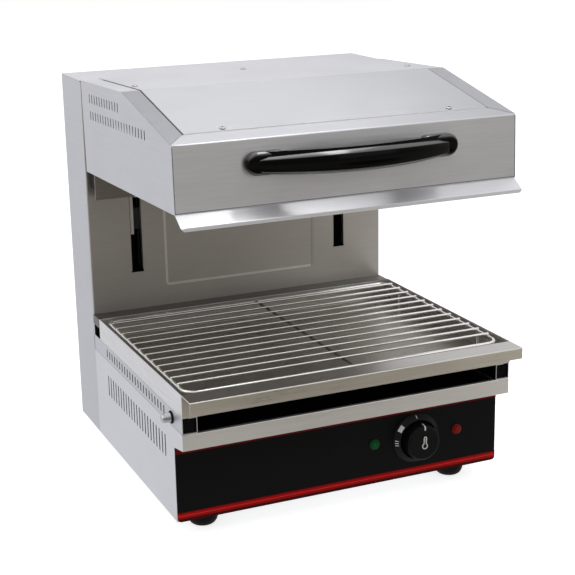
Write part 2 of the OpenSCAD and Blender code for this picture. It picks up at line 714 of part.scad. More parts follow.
bar_top = block_top_z + block_h;
bar_h = 14;
weight_d = pulley_d - pulley_r;
module lift_cable_front() color("#77777a") both_sides() 
    bar_z(cable_x, cable_d, cable_dia / 2, bar_top + seat_gap, pulley_z - seat_gap);
module lift_cable_rear() color("#77777a") both_sides() {
    bar_z(cable_x, weight_d, cable_dia / 2, weight_z + weight_h + seat_gap, pulley_z);
    translate([cable_x, fwd(pulley_d), pulley_z]) rotate([90, 0, 90])
        rotate_extrude(angle = 180, $fn = 96) translate([pulley_r, 0]) circle(r = cable_dia / 2, $fn = 32);
}

module counterweight() color("#55565a")
    slab(-weight_w / 2, weight_w / 2, weight_d - weight_t / 2, weight_d + weight_t / 2, weight_z,
        weight_z + weight_h);

module lift_bar() color(steel_dark)
    slab(-rod_x + block_w / 2, rod_x - block_w / 2, rod_d - bar_t / 2, rod_d + bar_t / 2,
        bar_top - bar_h, bar_top);

module slide_blocks() color("#e6e4de") both_sides() for (z = [block_low_z, block_top_z])
    difference() {
        slab(rod_x - block_w / 2, rod_x + block_w / 2, rod_d - block_w / 2, rod_d + block_w / 2, z,
            z + block_h);
        bar_z(rod_x, rod_d, rod_dia / 2 + run_gap, z - 1, z + block_h + 1);
    }

module carriage_arms() color(steel_dark) both_sides()
    side_plate(arm_x, arm_t, [[leg_front - 30, leg_z], [leg_front, leg_z], [leg_front, neck_z],
        [plate_d, neck_z],
        [plate_d, neck_z + arm_neck], [leg_front, neck_z + arm_neck], [leg_front, leg_top],
            [leg_front - 30, leg_top]]);

plate_low = hood_z - 38;
plate_high = hood_z + hood_rear_h - 14;
module carriage_plate() color(steel_dark) difference() {
    plate_sheet();
    bar_y(-lead_x, lead_high, lead_h + 1.8, plate_d - 1, plate_d + plate_t + 1);
}
module plate_sheet() {
    slab(-hood_hw + 6, hood_hw - 6, plate_d, plate_d + plate_t, plate_low, plate_high);
    both_sides() slab(hood_hw - 6, hood_hw - hood_t, plate_d, plate_d + plate_t, hood_z + 8, plate_high);
}

// Black seals behind the carriage plate's side edges
module carriage_seals() color(black) both_sides()
    slab(hood_hw - 13, hood_hw - 6, plate_d - 15, plate_d, plate_low + 14, plate_high - 4);

// ---- Hood ----

function hood_outline() = [[0, 0], [hood_d, 0], [hood_d, hood_front_h], [hood_bend, hood_rear_h], [0,
    hood_rear_h]];
cover_screw_places = [[0, 21], [cover_hw - 6, 138], [-cover_hw + 6, 138]];
slope_screw_x = cover_hw - 50;
slope_screw_f = cover_f - 6;

// A sheet that follows the roof from front to rear; its underside lies drop below the hood's outline
module roof_sheet(f1, half_w, drop)
    hood_plate(-half_w, 2 * half_w, [[0, hood_rear_h - drop], [hood_bend, hood_rear_h - drop],
        [f1, roof(f1) - drop], [f1, roof(f1) - drop + hood_t], [hood_bend, hood_rear_h - drop + hood_t],
        [0, hood_rear_h - drop + hood_t]]);

module cover_holes() {
    for (p = cover_screw_places) translate([p[0], -p[1], roof(p[1]) - 12])
        cylinder(r = screw_dia / 2 + screw_gap, h = 20, $fn = 32);
    for (s = [-1, 1]) translate([s * slope_screw_x, -slope_screw_f, roof(slope_screw_f)])
        rotate([slope, 0, 0])
        translate([0, 0, -8]) cylinder(r = screw_dia / 2 + screw_gap, h = 20, $fn = 32);
}

module hood_vents() {
    for (i = [0:11]) hood_slab(hood_hw - 3, hood_hw + 1, 35 + i * vent_pitch,
        35 + i * vent_pitch + vent_w * 0.8,
        hood_rear_h - 27, hood_rear_h - 27 + vent_small_l);
    for (i = [0:20]) hood_slab(hood_hw - 3, hood_hw + 1, 36 + i * vent_pitch,
        36 + i * vent_pitch + vent_w * 0.8,
        hood_rear_h - 49, hood_rear_h - 49 + vent_small_l);
}

module hood_shell() color(steel) in_hood() difference() {
    union() {
        both_sides() hood_plate(hood_hw - hood_t, hood_t, hood_outline());
        roof_sheet(hood_d, hood_hw - hood_t / 2, hood_t);
        hood_slab(-hood_hw + hood_t / 2, hood_hw - hood_t / 2, hood_d - hood_t, hood_d, 0, hood_front_h - hood_t / 2);
    }
    hood_slab(-cover_hw + cover_lap, cover_hw - cover_lap, rear_band, cover_f - cover_lap, 60, hood_rear_h + 5);
    both_sides() hood_vents();
    cover_holes();
    for (s = [-1, 1]) translate([s * boss_x, -hood_d - 1, handle_z]) rotate([-90, 0, 0])
        cylinder(r = foot_bolt / 2 + screw_gap, h = hood_t + 2, $fn = 48);
}
rear_band = 34;

module hood_cover() color(steel) in_hood() difference() {
    roof_sheet(cover_f, cover_hw, 0);
    cover_holes();
}

module cover_screws() color(zinc) in_hood() {
    for (p = cover_screw_places) translate([p[0], -p[1], roof(p[1]) + hood_t]) pan_screw(8);
    for (s = [-1, 1]) translate([s * slope_screw_x, -slope_screw_f, roof(slope_screw_f)])
        rotate([slope, 0, 0])
        translate([0, 0, hood_t * cos(slope)]) pan_screw(7);
}

module deflector_lip() color("#e4e5e8") in_hood() {
    f1 = hood_d - hood_t;
    c = cos(lip_angle);
    s = sin(lip_angle);
    hood_plate(-hood_hw + hood_t, hood_w - 2 * hood_t, [[f1 - hood_t, 0], [f1 - hood_t, 14], [f1, 14],
        [f1, 0],
        [hood_d, -0.3], [f1 + lip_l * c, -lip_l * s], [f1 + lip_l * c - s, -lip_l * s - c],
            [f1 - hood_t, -hood_t]]);
}

boss_x = handle_l / 2 - 13;
boss_out = 12;
grip_sag = handle_out - handle_t / 2 - boss_out + 4;
grip_r = (boss_x * boss_x + grip_sag * grip_sag) / (2 * grip_sag);
grip_half = asin(boss_x / grip_r);
finger_x = handle_l * 0.3;
finger_out = handle_out - handle_t;
finger_r = (finger_x * finger_x + finger_out * finger_out) / (2 * finger_out);
module hood_handle() color(black) in_hood() difference() {
    union() {
        translate([0, -hood_d - handle_out + handle_t / 2 + grip_r, handle_z])
            rotate([0, 0, -90 - grip_half]) rotate_extrude(angle = 2 * grip_half, $fn = 360)
                translate([grip_r, 0]) round_rect(handle_t, handle_h, grip_corner);
        translate([0, 0, handle_z - handle_h / 2 + 2]) linear_extrude(handle_h - 4) difference() {
            intersection() {
                translate([-boss_x, -hood_d - handle_out]) square([2 * boss_x, handle_out]);
                translate([0, -hood_d - handle_out + handle_t / 2 + grip_r]) circle(grip_r, $fn = 360);
            }
            translate([0, -hood_d - finger_out + finger_r]) circle(finger_r, $fn = 240);
        }
        for (s = [-1, 1]) translate([s * boss_x, -hood_d - boss_out, handle_z]) rotate([-90, 0, 0])
            linear_extrude(boss_out) round_rect(26, handle_h + 5, 12.5);
    }
    for (s = [-1, 1]) translate([s * boss_x, -hood_d - 9, handle_z]) rotate([-90, 0, 0])
        cylinder(r = foot_bolt / 2 + screw_gap, h = 10, $fn = 48);
    translate([-hood_hw, -hood_d, -hood_t]) cube([hood_w, 20, 200]);
}

module handle_screws() color(zinc) in_hood()
    for (s = [-1, 1]) translate([s * boss_x, -hood_d + hood_t, handle_z]) rotate([-90, 0, 0]) {
        translate([0, 0, -9]) cylinder(r = foot_bolt / 2, h = 9, $fn = 48);
        cylinder(r = foot_bolt, h = 3, $fn = 48);
    }

module reflector() color("#d2d3d6") in_hood() difference() {
    union() {
        hood_slab(-refl_hw, refl_hw, refl_rear, refl_front, reflector_h - refl_t, reflector_h);
        for (f = [refl_rear, refl_front - refl_t]) hood_slab(-refl_hw, refl_hw, f, f + refl_t, 3,
            reflector_h);
        both_sides() {
            hood_slab(refl_hw - refl_t, refl_hw, refl_rear, refl_front, 3, reflector_h);
            hood_slab(refl_hw, hood_hw - hood_t, refl_rear, refl_front, 3, 3 + refl_t);
        }
        hood_slab(-refl_hw, refl_hw, refl_front, hood_d - 2 * hood_t, 3, 3 + refl_t);
    }
    for (i = [0:element_count - 1], s = [-1, 1]) translate([-refl_hw - 1,
        -element_f(i) - s * element_pitch / 2, element_z])
        rotate([0, 90, 0]) cylinder(d = element_dia + 0.4, h = 4, $fn = 48);
}

leg_out = 14;
bend_x = refl_hw - 30 - element_pitch / 2;
module heating_elements() color("#6a6258") in_hood() for (i = [0:element_count - 1])
    translate([0, -element_f(i), element_z]) {
        for (s = [-1, 1]) translate([-refl_hw - leg_out, s * element_pitch / 2, 0]) rotate([0, 90, 0])
            cylinder(d = element_dia, h = refl_hw + leg_out + bend_x, $fn = 48);
        translate([bend_x, 0, 0]) rotate([0, 0, -90]) rotate_extrude(angle = 180, $fn = 64)
            translate([element_pitch / 2, 0]) circle(d = element_dia, $fn = 48);
    }

module element_brackets() color(steel_dark) in_hood() for (x = [-refl_hw / 2, refl_hw / 2])
    difference() {
        hood_slab(x - 1, x + 1, refl_rear + refl_t, refl_front - refl_t, element_z - 8,
            reflector_h - refl_t);
        for (i = [0:element_count - 1], s = [-1, 1]) translate([x - 2,
            -element_f(i) - s * element_pitch / 2, element_z])
            rotate([0, 90, 0]) cylinder(d = element_dia + 0.4, h = 4, $fn = 48);
    }

module element_bushes() color("#efece4") in_hood() for (i = [0:element_count - 1], s = [-1, 1])
    translate([-refl_hw - bush_w, -element_f(i) - s * element_pitch / 2, element_z]) rotate([0, 90,
        0]) difference() {
        cylinder(d = element_dia + 6, h = bush_w, $fn = 48);
        translate([0, 0, -1]) cylinder(d = element_dia + 0.4, h = bush_w + 2, $fn = 48);
    }

module insulation_blanket() color("#e9e6dc") in_hood()
    hood_slab(-refl_hw + 12, refl_hw - 12, refl_rear + 6, hood_bend + 30, reflector_h, reflector_h + 26);

module hood_terminal_block() color("#e8e4da") in_hood()
    hood_slab(-hood_hw + hood_t, -hood_hw + hood_t + 18, block_f, block_f + block_l, 62, 78);

// Straps that join one hairpin to the next, and a wire from the terminal block to each end of the row
link_x = -refl_hw - leg_out;
module element_links() color(zinc) in_hood() {
    for (i = [0:element_count - 2])
        hood_slab(link_x - 1, link_x, element_f(i) + element_pitch / 2 - 3,
            element_f(i + 1) - element_pitch / 2 + 3, element_z - 3, element_z + 3);
    for (s = [-1, 1]) {
        end_f = s < 0 ? element_f(0) - element_pitch / 2 : element_f(element_count - 1) + element_pitch / 2;
        feed_f = block_f + block_l / 2 + s * 25;
        hood_slab(link_x - 1, link_x, end_f - 3, end_f + 3, element_z - 3, element_z + 18);
        hood_slab(link_x - 1, link_x, min(end_f, feed_f) - 3, max(end_f, feed_f) + 3, element_z + 12,
            element_z + 18);
        hood_slab(link_x - 1, link_x, feed_f - 3, feed_f + 3, element_z + 12, 61.7);
    }
}

// ---- Knob ----

knob_base = 2.5;
module knob() color(black) translate([knob_x, fwd(panel_depth), control_zz]) rotate([90, 0, 0])
    rotate_extrude($fn = 128) polygon([[stem_dia / 2 + 0.02, knob_base], [knob_dia / 2 + 1, knob_base],
        [knob_dia / 2, knob_out - 1.2], [knob_dia / 2 - 1.2, knob_out], [0, knob_out], [0, knob_out - 6],
        [stem_dia / 2 + 0.02, knob_out - 6]]);

module thermostat_shaft() color(zinc)
    bar_y(knob_x, control_zz, stem_dia / 2, panel_depth - panel_t - thermo_d + 6.5,
        panel_depth + knob_out - 6.2);

// ---- Tray and grid ----

module drip_tray() color(steel) {
    slab(-hw, hw, tray_rear, tray_front, tray_floor, tray_floor + tray_t);
    both_sides() slab(hw - tray_t, hw, tray_rear, tray_front, tray_floor, tray_top);
    for (d = [tray_rear, tray_front - tray_t]) slab(-hw, hw, d, d + tray_t, tray_floor, tray_top);
    slab(-hw, hw, tray_front - tray_t, tray_front + tray_lip, tray_top - tray_t, tray_top);
    slab(-hw, hw, tray_front + tray_lip - tray_t, tray_front + tray_lip, tray_top - tray_lip_h, tray_top);
}

grid_rods = floor((grid_front - grid_rear - 40) / grid_pitch) + 1;
rod_first = grid_rear + 20;
rod_z = grid_z + (grid_frame + grid_rod) / 2 - 0.4;
leg_low = tray_floor + tray_t + seat_gap;
module wire_grid() color("#dcdcdc") {
    c = grid_corner;
    for (d = [grid_rear, grid_front]) bar_x(d, grid_z, grid_frame / 2, -grid_hw + c, grid_hw - c);
    both_sides() {
        bar_y(grid_hw, grid_z, grid_frame / 2, grid_rear + c, grid_front - c);
        translate([grid_hw - c, fwd(grid_rear + c), grid_z]) rotate_extrude(angle = 90, $fn = 96)
            translate([c, 0]) circle(d = grid_frame, $fn = 32);
        translate([grid_hw - c, fwd(grid_front - c), grid_z]) rotate([0, 0, -90])
            rotate_extrude(angle = 90, $fn = 96)
            translate([c, 0]) circle(d = grid_frame, $fn = 32);
        for (i = [1, grid_rods - 2]) bar_z(grid_hw, rod_first + i * grid_pitch, grid_rod / 2, leg_low,
            grid_z);
    }
    for (i = [0:grid_rods - 1]) bar_x(rod_first + i * grid_pitch, rod_z, grid_rod / 2, -grid_hw - 1,
        grid_hw + 1);
    bar_y(6, rod_z - grid_rod + 0.3, grid_rod / 2, grid_rear, grid_front);
}

column_shell();
column_top();
rear_cover();
rear_cover_screws();
cable_gland();
rear_ledge();
base_shell();
base_bottom();
heat_shield();
rear_shield();
control_panel();
panel_stripes();
thermostat();
dial_bezel();
lamp_green();
lamp_red();
lamp_holders();
terminal_block();
control_wiring();
hood_lead_lower();
hood_lead_upper();
feet();
foot_screws();
rail_left();
rail_right();
rail_plugs();
rail_thumb_nuts();
rail_washers();
guide_rods();
rod_brackets();
shaft_bearings();
lift_cable_front();
lift_cable_rear();
pulley_shaft();
pulleys();
counterweight();
hood_shell();
hood_cover();
cover_screws();
deflector_lip();
hood_handle();
handle_screws();
reflector();
heating_elements();
element_brackets();
element_bushes();
insulation_blanket();
hood_terminal_block();
element_links();
carriage_plate();
carriage_seals();
carriage_arms();
slide_blocks();
lift_bar();
knob();
thermostat_shaft();
drip_tray();
wire_grid();
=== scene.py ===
import bpy
import bmesh
import json
from math import asin, atan, cos, degrees, pi, radians, sin
from mathutils import Matrix, Vector


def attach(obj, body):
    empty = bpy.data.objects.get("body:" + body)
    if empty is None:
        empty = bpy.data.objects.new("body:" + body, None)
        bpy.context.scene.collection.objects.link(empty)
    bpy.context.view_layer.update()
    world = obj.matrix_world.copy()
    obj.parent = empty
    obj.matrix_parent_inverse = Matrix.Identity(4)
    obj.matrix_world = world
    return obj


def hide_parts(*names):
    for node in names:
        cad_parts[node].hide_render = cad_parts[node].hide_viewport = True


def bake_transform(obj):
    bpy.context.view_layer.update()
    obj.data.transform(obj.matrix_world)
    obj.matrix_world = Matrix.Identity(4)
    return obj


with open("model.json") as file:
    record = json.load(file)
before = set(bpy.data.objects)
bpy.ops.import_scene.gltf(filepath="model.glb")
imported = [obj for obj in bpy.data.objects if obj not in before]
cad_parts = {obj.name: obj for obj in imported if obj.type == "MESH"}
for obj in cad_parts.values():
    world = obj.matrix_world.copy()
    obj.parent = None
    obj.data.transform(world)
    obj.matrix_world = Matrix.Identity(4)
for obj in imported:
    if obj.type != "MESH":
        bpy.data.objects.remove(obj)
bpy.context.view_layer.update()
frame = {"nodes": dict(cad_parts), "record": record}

nodes = frame["nodes"]
mm = 0.001

# place in metres, roll in degrees, lens and sensor in mm
cameraView = {"place": (-0.72021, -1.677506, 0.76888), "forward": (0.38273681, 0.88203433, -0.27482353),
              "roll": -1.102, "lens": 87.56, "sensor": 36.0, "nearest": 0.05}


def addCamera(view):
    camera = bpy.data.objects.new("camera", bpy.data.cameras.new("camera"))
    bpy.context.scene.collection.objects.link(camera)
    forward = Vector(view["forward"]).normalized()
    right = forward.cross(Vector((0, 0, 1))).normalized()
    right = Matrix.Rotation(radians(-view["roll"]), 3, forward) @ right
    up = right.cross(forward)
    turn = Matrix((right, up, -forward)).transposed().to_4x4()
    camera.matrix_world = Matrix.Translation(view["place"]) @ turn
    camera.data.lens = view["lens"]
    camera.data.sensor_width = view["sensor"]
    camera.data.clip_start = view["nearest"]
    bpy.context.scene.camera = camera


addCamera(cameraView)
print("camera is placed")


def linear(hexColour):
    parts = [int(hexColour[i:i + 2], 16) / 255 for i in (1, 3, 5)]
    return [c / 12.92 if c <= 0.04045 else ((c + 0.055) / 1.055) ** 2.4 for c in parts] + [1.0]


# adds one node; a setting is an input's name or number, or a property of the node
def addNode(tree, kind, settings=None, links=None):
    node = tree.nodes.new(kind)
    for key, value in (settings or {}).items():
        if isinstance(key, int) or key in node.inputs:
            node.inputs[key].default_value = value
        else:
            setattr(node, key, value)
    for key, source in (links or {}).items():
        tree.links.new(source, node.inputs[key])
    return node


def newMaterial(name, settings):
    material = bpy.data.materials.new(name)
    material.use_nodes = True
    shader = material.node_tree.nodes["Principled BSDF"]
    for key, value in settings.items():
        shader.inputs[key].default_value = value
    return material, material.node_tree, shader


def feedShader(tree, shader, sources):
    for key, source in sources.items():
        tree.links.new(source, shader.inputs[key])


# scratches and clouds in mm; a face lies across an axis when its normal's share of it is over facing
brushing = {"grain": 1.4, "length": 60, "cloud": 120, "cloudShare": 0.35, "streaks": 0.6, "facing": 0.7,
            "darkAt": 0.36, "lightAt": 0.64, "glossSpread": 0.05, "relief": 0.05}


# Patches are faces across one axis, within limits in mm, with a tint that multiplies the colour. The tints are
# matched, and stand for light and shade on a face as much as for its finish.
def tintPatches(tree, place, facing, colour, patches):
    spot = addNode(tree, "ShaderNodeSeparateXYZ", {}, {"Vector": place.outputs["Object"]})
    for axis, limits, tint in patches:
        level = addNode(tree, "ShaderNodeMath", {"operation": "ABSOLUTE"}, {0: facing.outputs[axis]})
        share = addNode(tree, "ShaderNodeMath", {"operation": "GREATER_THAN", 1: brushing["facing"]},
                        {0: level.outputs[0]})
        for way, (low, high) in limits.items():
            within = addNode(tree, "ShaderNodeMath", {"operation": "COMPARE", 1: (low + high) / 2 * mm,
                                                      2: (high - low) / 2 * mm}, {0: spot.outputs[way]})
            share = addNode(tree, "ShaderNodeMath", {"operation": "MULTIPLY"},
                            {0: share.outputs[0], 1: within.outputs[0]})
        tinted = addNode(tree, "ShaderNodeMix", {"data_type": "RGBA", "blend_type": "MULTIPLY", 7: (*tint, 1)},
                         {0: share.outputs[0], 6: colour})
        colour = tinted.outputs[2]
    return colour


# Brushed stainless sheet: fine straight scratches that run from side to side, and front to back on the side
# faces. They smear reflections across the scratches into a satin sheen. The real ones are about 0.1 mm apart,
# and these are coarser, to show.
def brushedSteel(name, light, dark, rough=0.36, metal=0.9, grainMm=brushing["grain"], crosswise=False, patches=()):
    material, tree, shader = newMaterial(name, {"Metallic": metal, "Anisotropic": brushing["streaks"]})
    place = addNode(tree, "ShaderNodeTexCoord")
    fine, long = 1000 / grainMm, 1000 / brushing["length"]
    wide = addNode(tree, "ShaderNodeMapping", {"Scale": (long, fine, fine)}, {"Vector": place.outputs["Object"]})
    deep = addNode(tree, "ShaderNodeMapping", {"Scale": (fine, long, fine)}, {"Vector": place.outputs["Object"]})
    facing = addNode(tree, "ShaderNodeSeparateXYZ", {}, {"Vector": place.outputs["Normal"]})
    sideways = addNode(tree, "ShaderNodeMath", {"operation": "ABSOLUTE"}, {0: facing.outputs["X"]})
    isSide = addNode(tree, "ShaderNodeMath", {"operation": "GREATER_THAN", 1: brushing["facing"]},
                     {0: sideways.outputs[0]})
    first, second = (deep, wide) if crosswise else (wide, deep)
    stretched = addNode(tree, "ShaderNodeMix", {"data_type": "VECTOR"},
                        {0: isSide.outputs[0], 4: first.outputs[0], 5: second.outputs[0]})
    grain = addNode(tree, "ShaderNodeTexNoise", {"Scale": 1.0, "Detail": 3.0, "Roughness": 0.6},
                    {"Vector": stretched.outputs[1]})
    cloud = addNode(tree, "ShaderNodeTexNoise", {"Scale": 1000 / brushing["cloud"], "Detail": 3.0},
                    {"Vector": place.outputs["Object"]})
    both = addNode(tree, "ShaderNodeMix", {0: brushing["cloudShare"]}, {2: grain.outputs[0], 3: cloud.outputs[0]})
    tone = addNode(tree, "ShaderNodeValToRGB", {}, {0: both.outputs[0]})
    darkEnd, lightEnd = tone.color_ramp.elements
    darkEnd.position, darkEnd.color = brushing["darkAt"], linear(dark)
    lightEnd.position, lightEnd.color = brushing["lightAt"], linear(light)
    colour = tintPatches(tree, place, facing, tone.outputs[0], patches)
    smearFlat, smearSide = (1, 0, 1) if crosswise else (0, 1, 1), (0, 0, 1)
    smear = addNode(tree, "ShaderNodeMix", {"data_type": "VECTOR", 4: smearFlat, 5: smearSide},
                    {0: isSide.outputs[0]})
    sheen = addNode(tree, "ShaderNodeMapRange", {1: 0.3, 2: 0.7, 3: rough - brushing["glossSpread"],
                                                 4: rough + brushing["glossSpread"]}, {0: both.outputs[0]})
    relief = addNode(tree, "ShaderNodeBump", {"Strength": brushing["relief"], "Distance": 0.05 * mm},
                     {"Height": grain.outputs[0]})
    feedShader(tree, shader, {"Base Color": colour, "Tangent": smear.outputs[1], "Roughness": sheen.outputs[0],
                              "Normal": relief.outputs[0]})
    return material


# A surface with one even grain: plated, cast, moulded or sprayed. The grain breaks up the colour, the gloss and
# the surface itself.
def evenGrain(name, light, dark, rough, grainMm, metal=0.0, shine=0.5, spread=0.05, bump=0.15, depthMm=0.1):
    material, tree, shader = newMaterial(name, {"Metallic": metal, "Specular IOR Level": shine})
    place = addNode(tree, "ShaderNodeTexCoord")
    grain = addNode(tree, "ShaderNodeTexNoise", {"Scale": 1000 / grainMm, "Detail": 3.0},
                    {"Vector": place.outputs["Object"]})
    wear = addNode(tree, "ShaderNodeTexNoise", {"Scale": 1000 / (grainMm * 25), "Detail": 2.0},
                   {"Vector": place.outputs["Object"]})
    both = addNode(tree, "ShaderNodeMix", {0: 0.5}, {2: grain.outputs[0], 3: wear.outputs[0]})
    tone = addNode(tree, "ShaderNodeValToRGB", {}, {0: both.outputs[0]})
    darkEnd, lightEnd = tone.color_ramp.elements
    darkEnd.position, darkEnd.color = 0.38, linear(dark)
    lightEnd.position, lightEnd.color = 0.62, linear(light)
    sheen = addNode(tree, "ShaderNodeMapRange", {1: 0.3, 2: 0.7, 3: rough - spread, 4: rough + spread},
                    {0: wear.outputs[0]})
    relief = addNode(tree, "ShaderNodeBump", {"Strength": bump, "Distance": depthMm * mm},
                     {"Height": grain.outputs[0]})
    feedShader(tree, shader, {"Base Color": tone.outputs[0], "Roughness": sheen.outputs[0],
                              "Normal": relief.outputs[0]})
    return material


# heights in mm at which each colour starts; the last one is the band along the panel's top, painted darker as shade
# under the trim
bandPrintAndShade = {"low": 20, "high": 130, "screen": 900.0,
             "colours": [(20, "#4A0808"), (28.6, "#BC0808"), (32, "#E03A34"), (33, "#BC0808"), (36, "#4A0808"),
                         (60, "#6A0A0A")]}


# Red foil print: a bright band between two darker edges, with a pale line along its middle that is a painted highlight.
def printedShadedBand(name, rough):
    material, tree, shader = newMaterial(name, {"Roughness": rough, "Specular IOR Level": 0.1})
    low, high = bandPrintAndShade["low"], bandPrintAndShade["high"]
    place = addNode(tree, "ShaderNodeTexCoord")
    height = addNode(tree, "ShaderNodeSeparateXYZ", {}, {"Vector": place.outputs["Object"]})
    share = addNode(tree, "ShaderNodeMapRange", {1: low * mm, 2: high * mm}, {0: height.outputs["Z"]})
    ramp = addNode(tree, "ShaderNodeValToRGB", {}, {0: share.outputs[0]})
    elements = ramp.color_ramp.elements
    ramp.color_ramp.interpolation = "CONSTANT"
    for i, (z, colour) in enumerate(bandPrintAndShade["colours"]):
        element = elements[0] if i == 0 else elements.new((z - low) / (high - low))
        element.color = linear(colour)
    elements.remove(elements[-1])
    screen = addNode(tree, "ShaderNodeTexNoise", {"Scale": bandPrintAndShade["screen"]}, {"Vector": place.outputs["Object"]})
    relief = addNode(tree, "ShaderNodeBump", {"Strength": 0.05, "Distance": 0.05 * mm}, {"Height": screen.outputs[0]})
    feedShader(tree, shader, {"Base Color": ramp.outputs[0], "Normal": relief.outputs[0]})
    return material


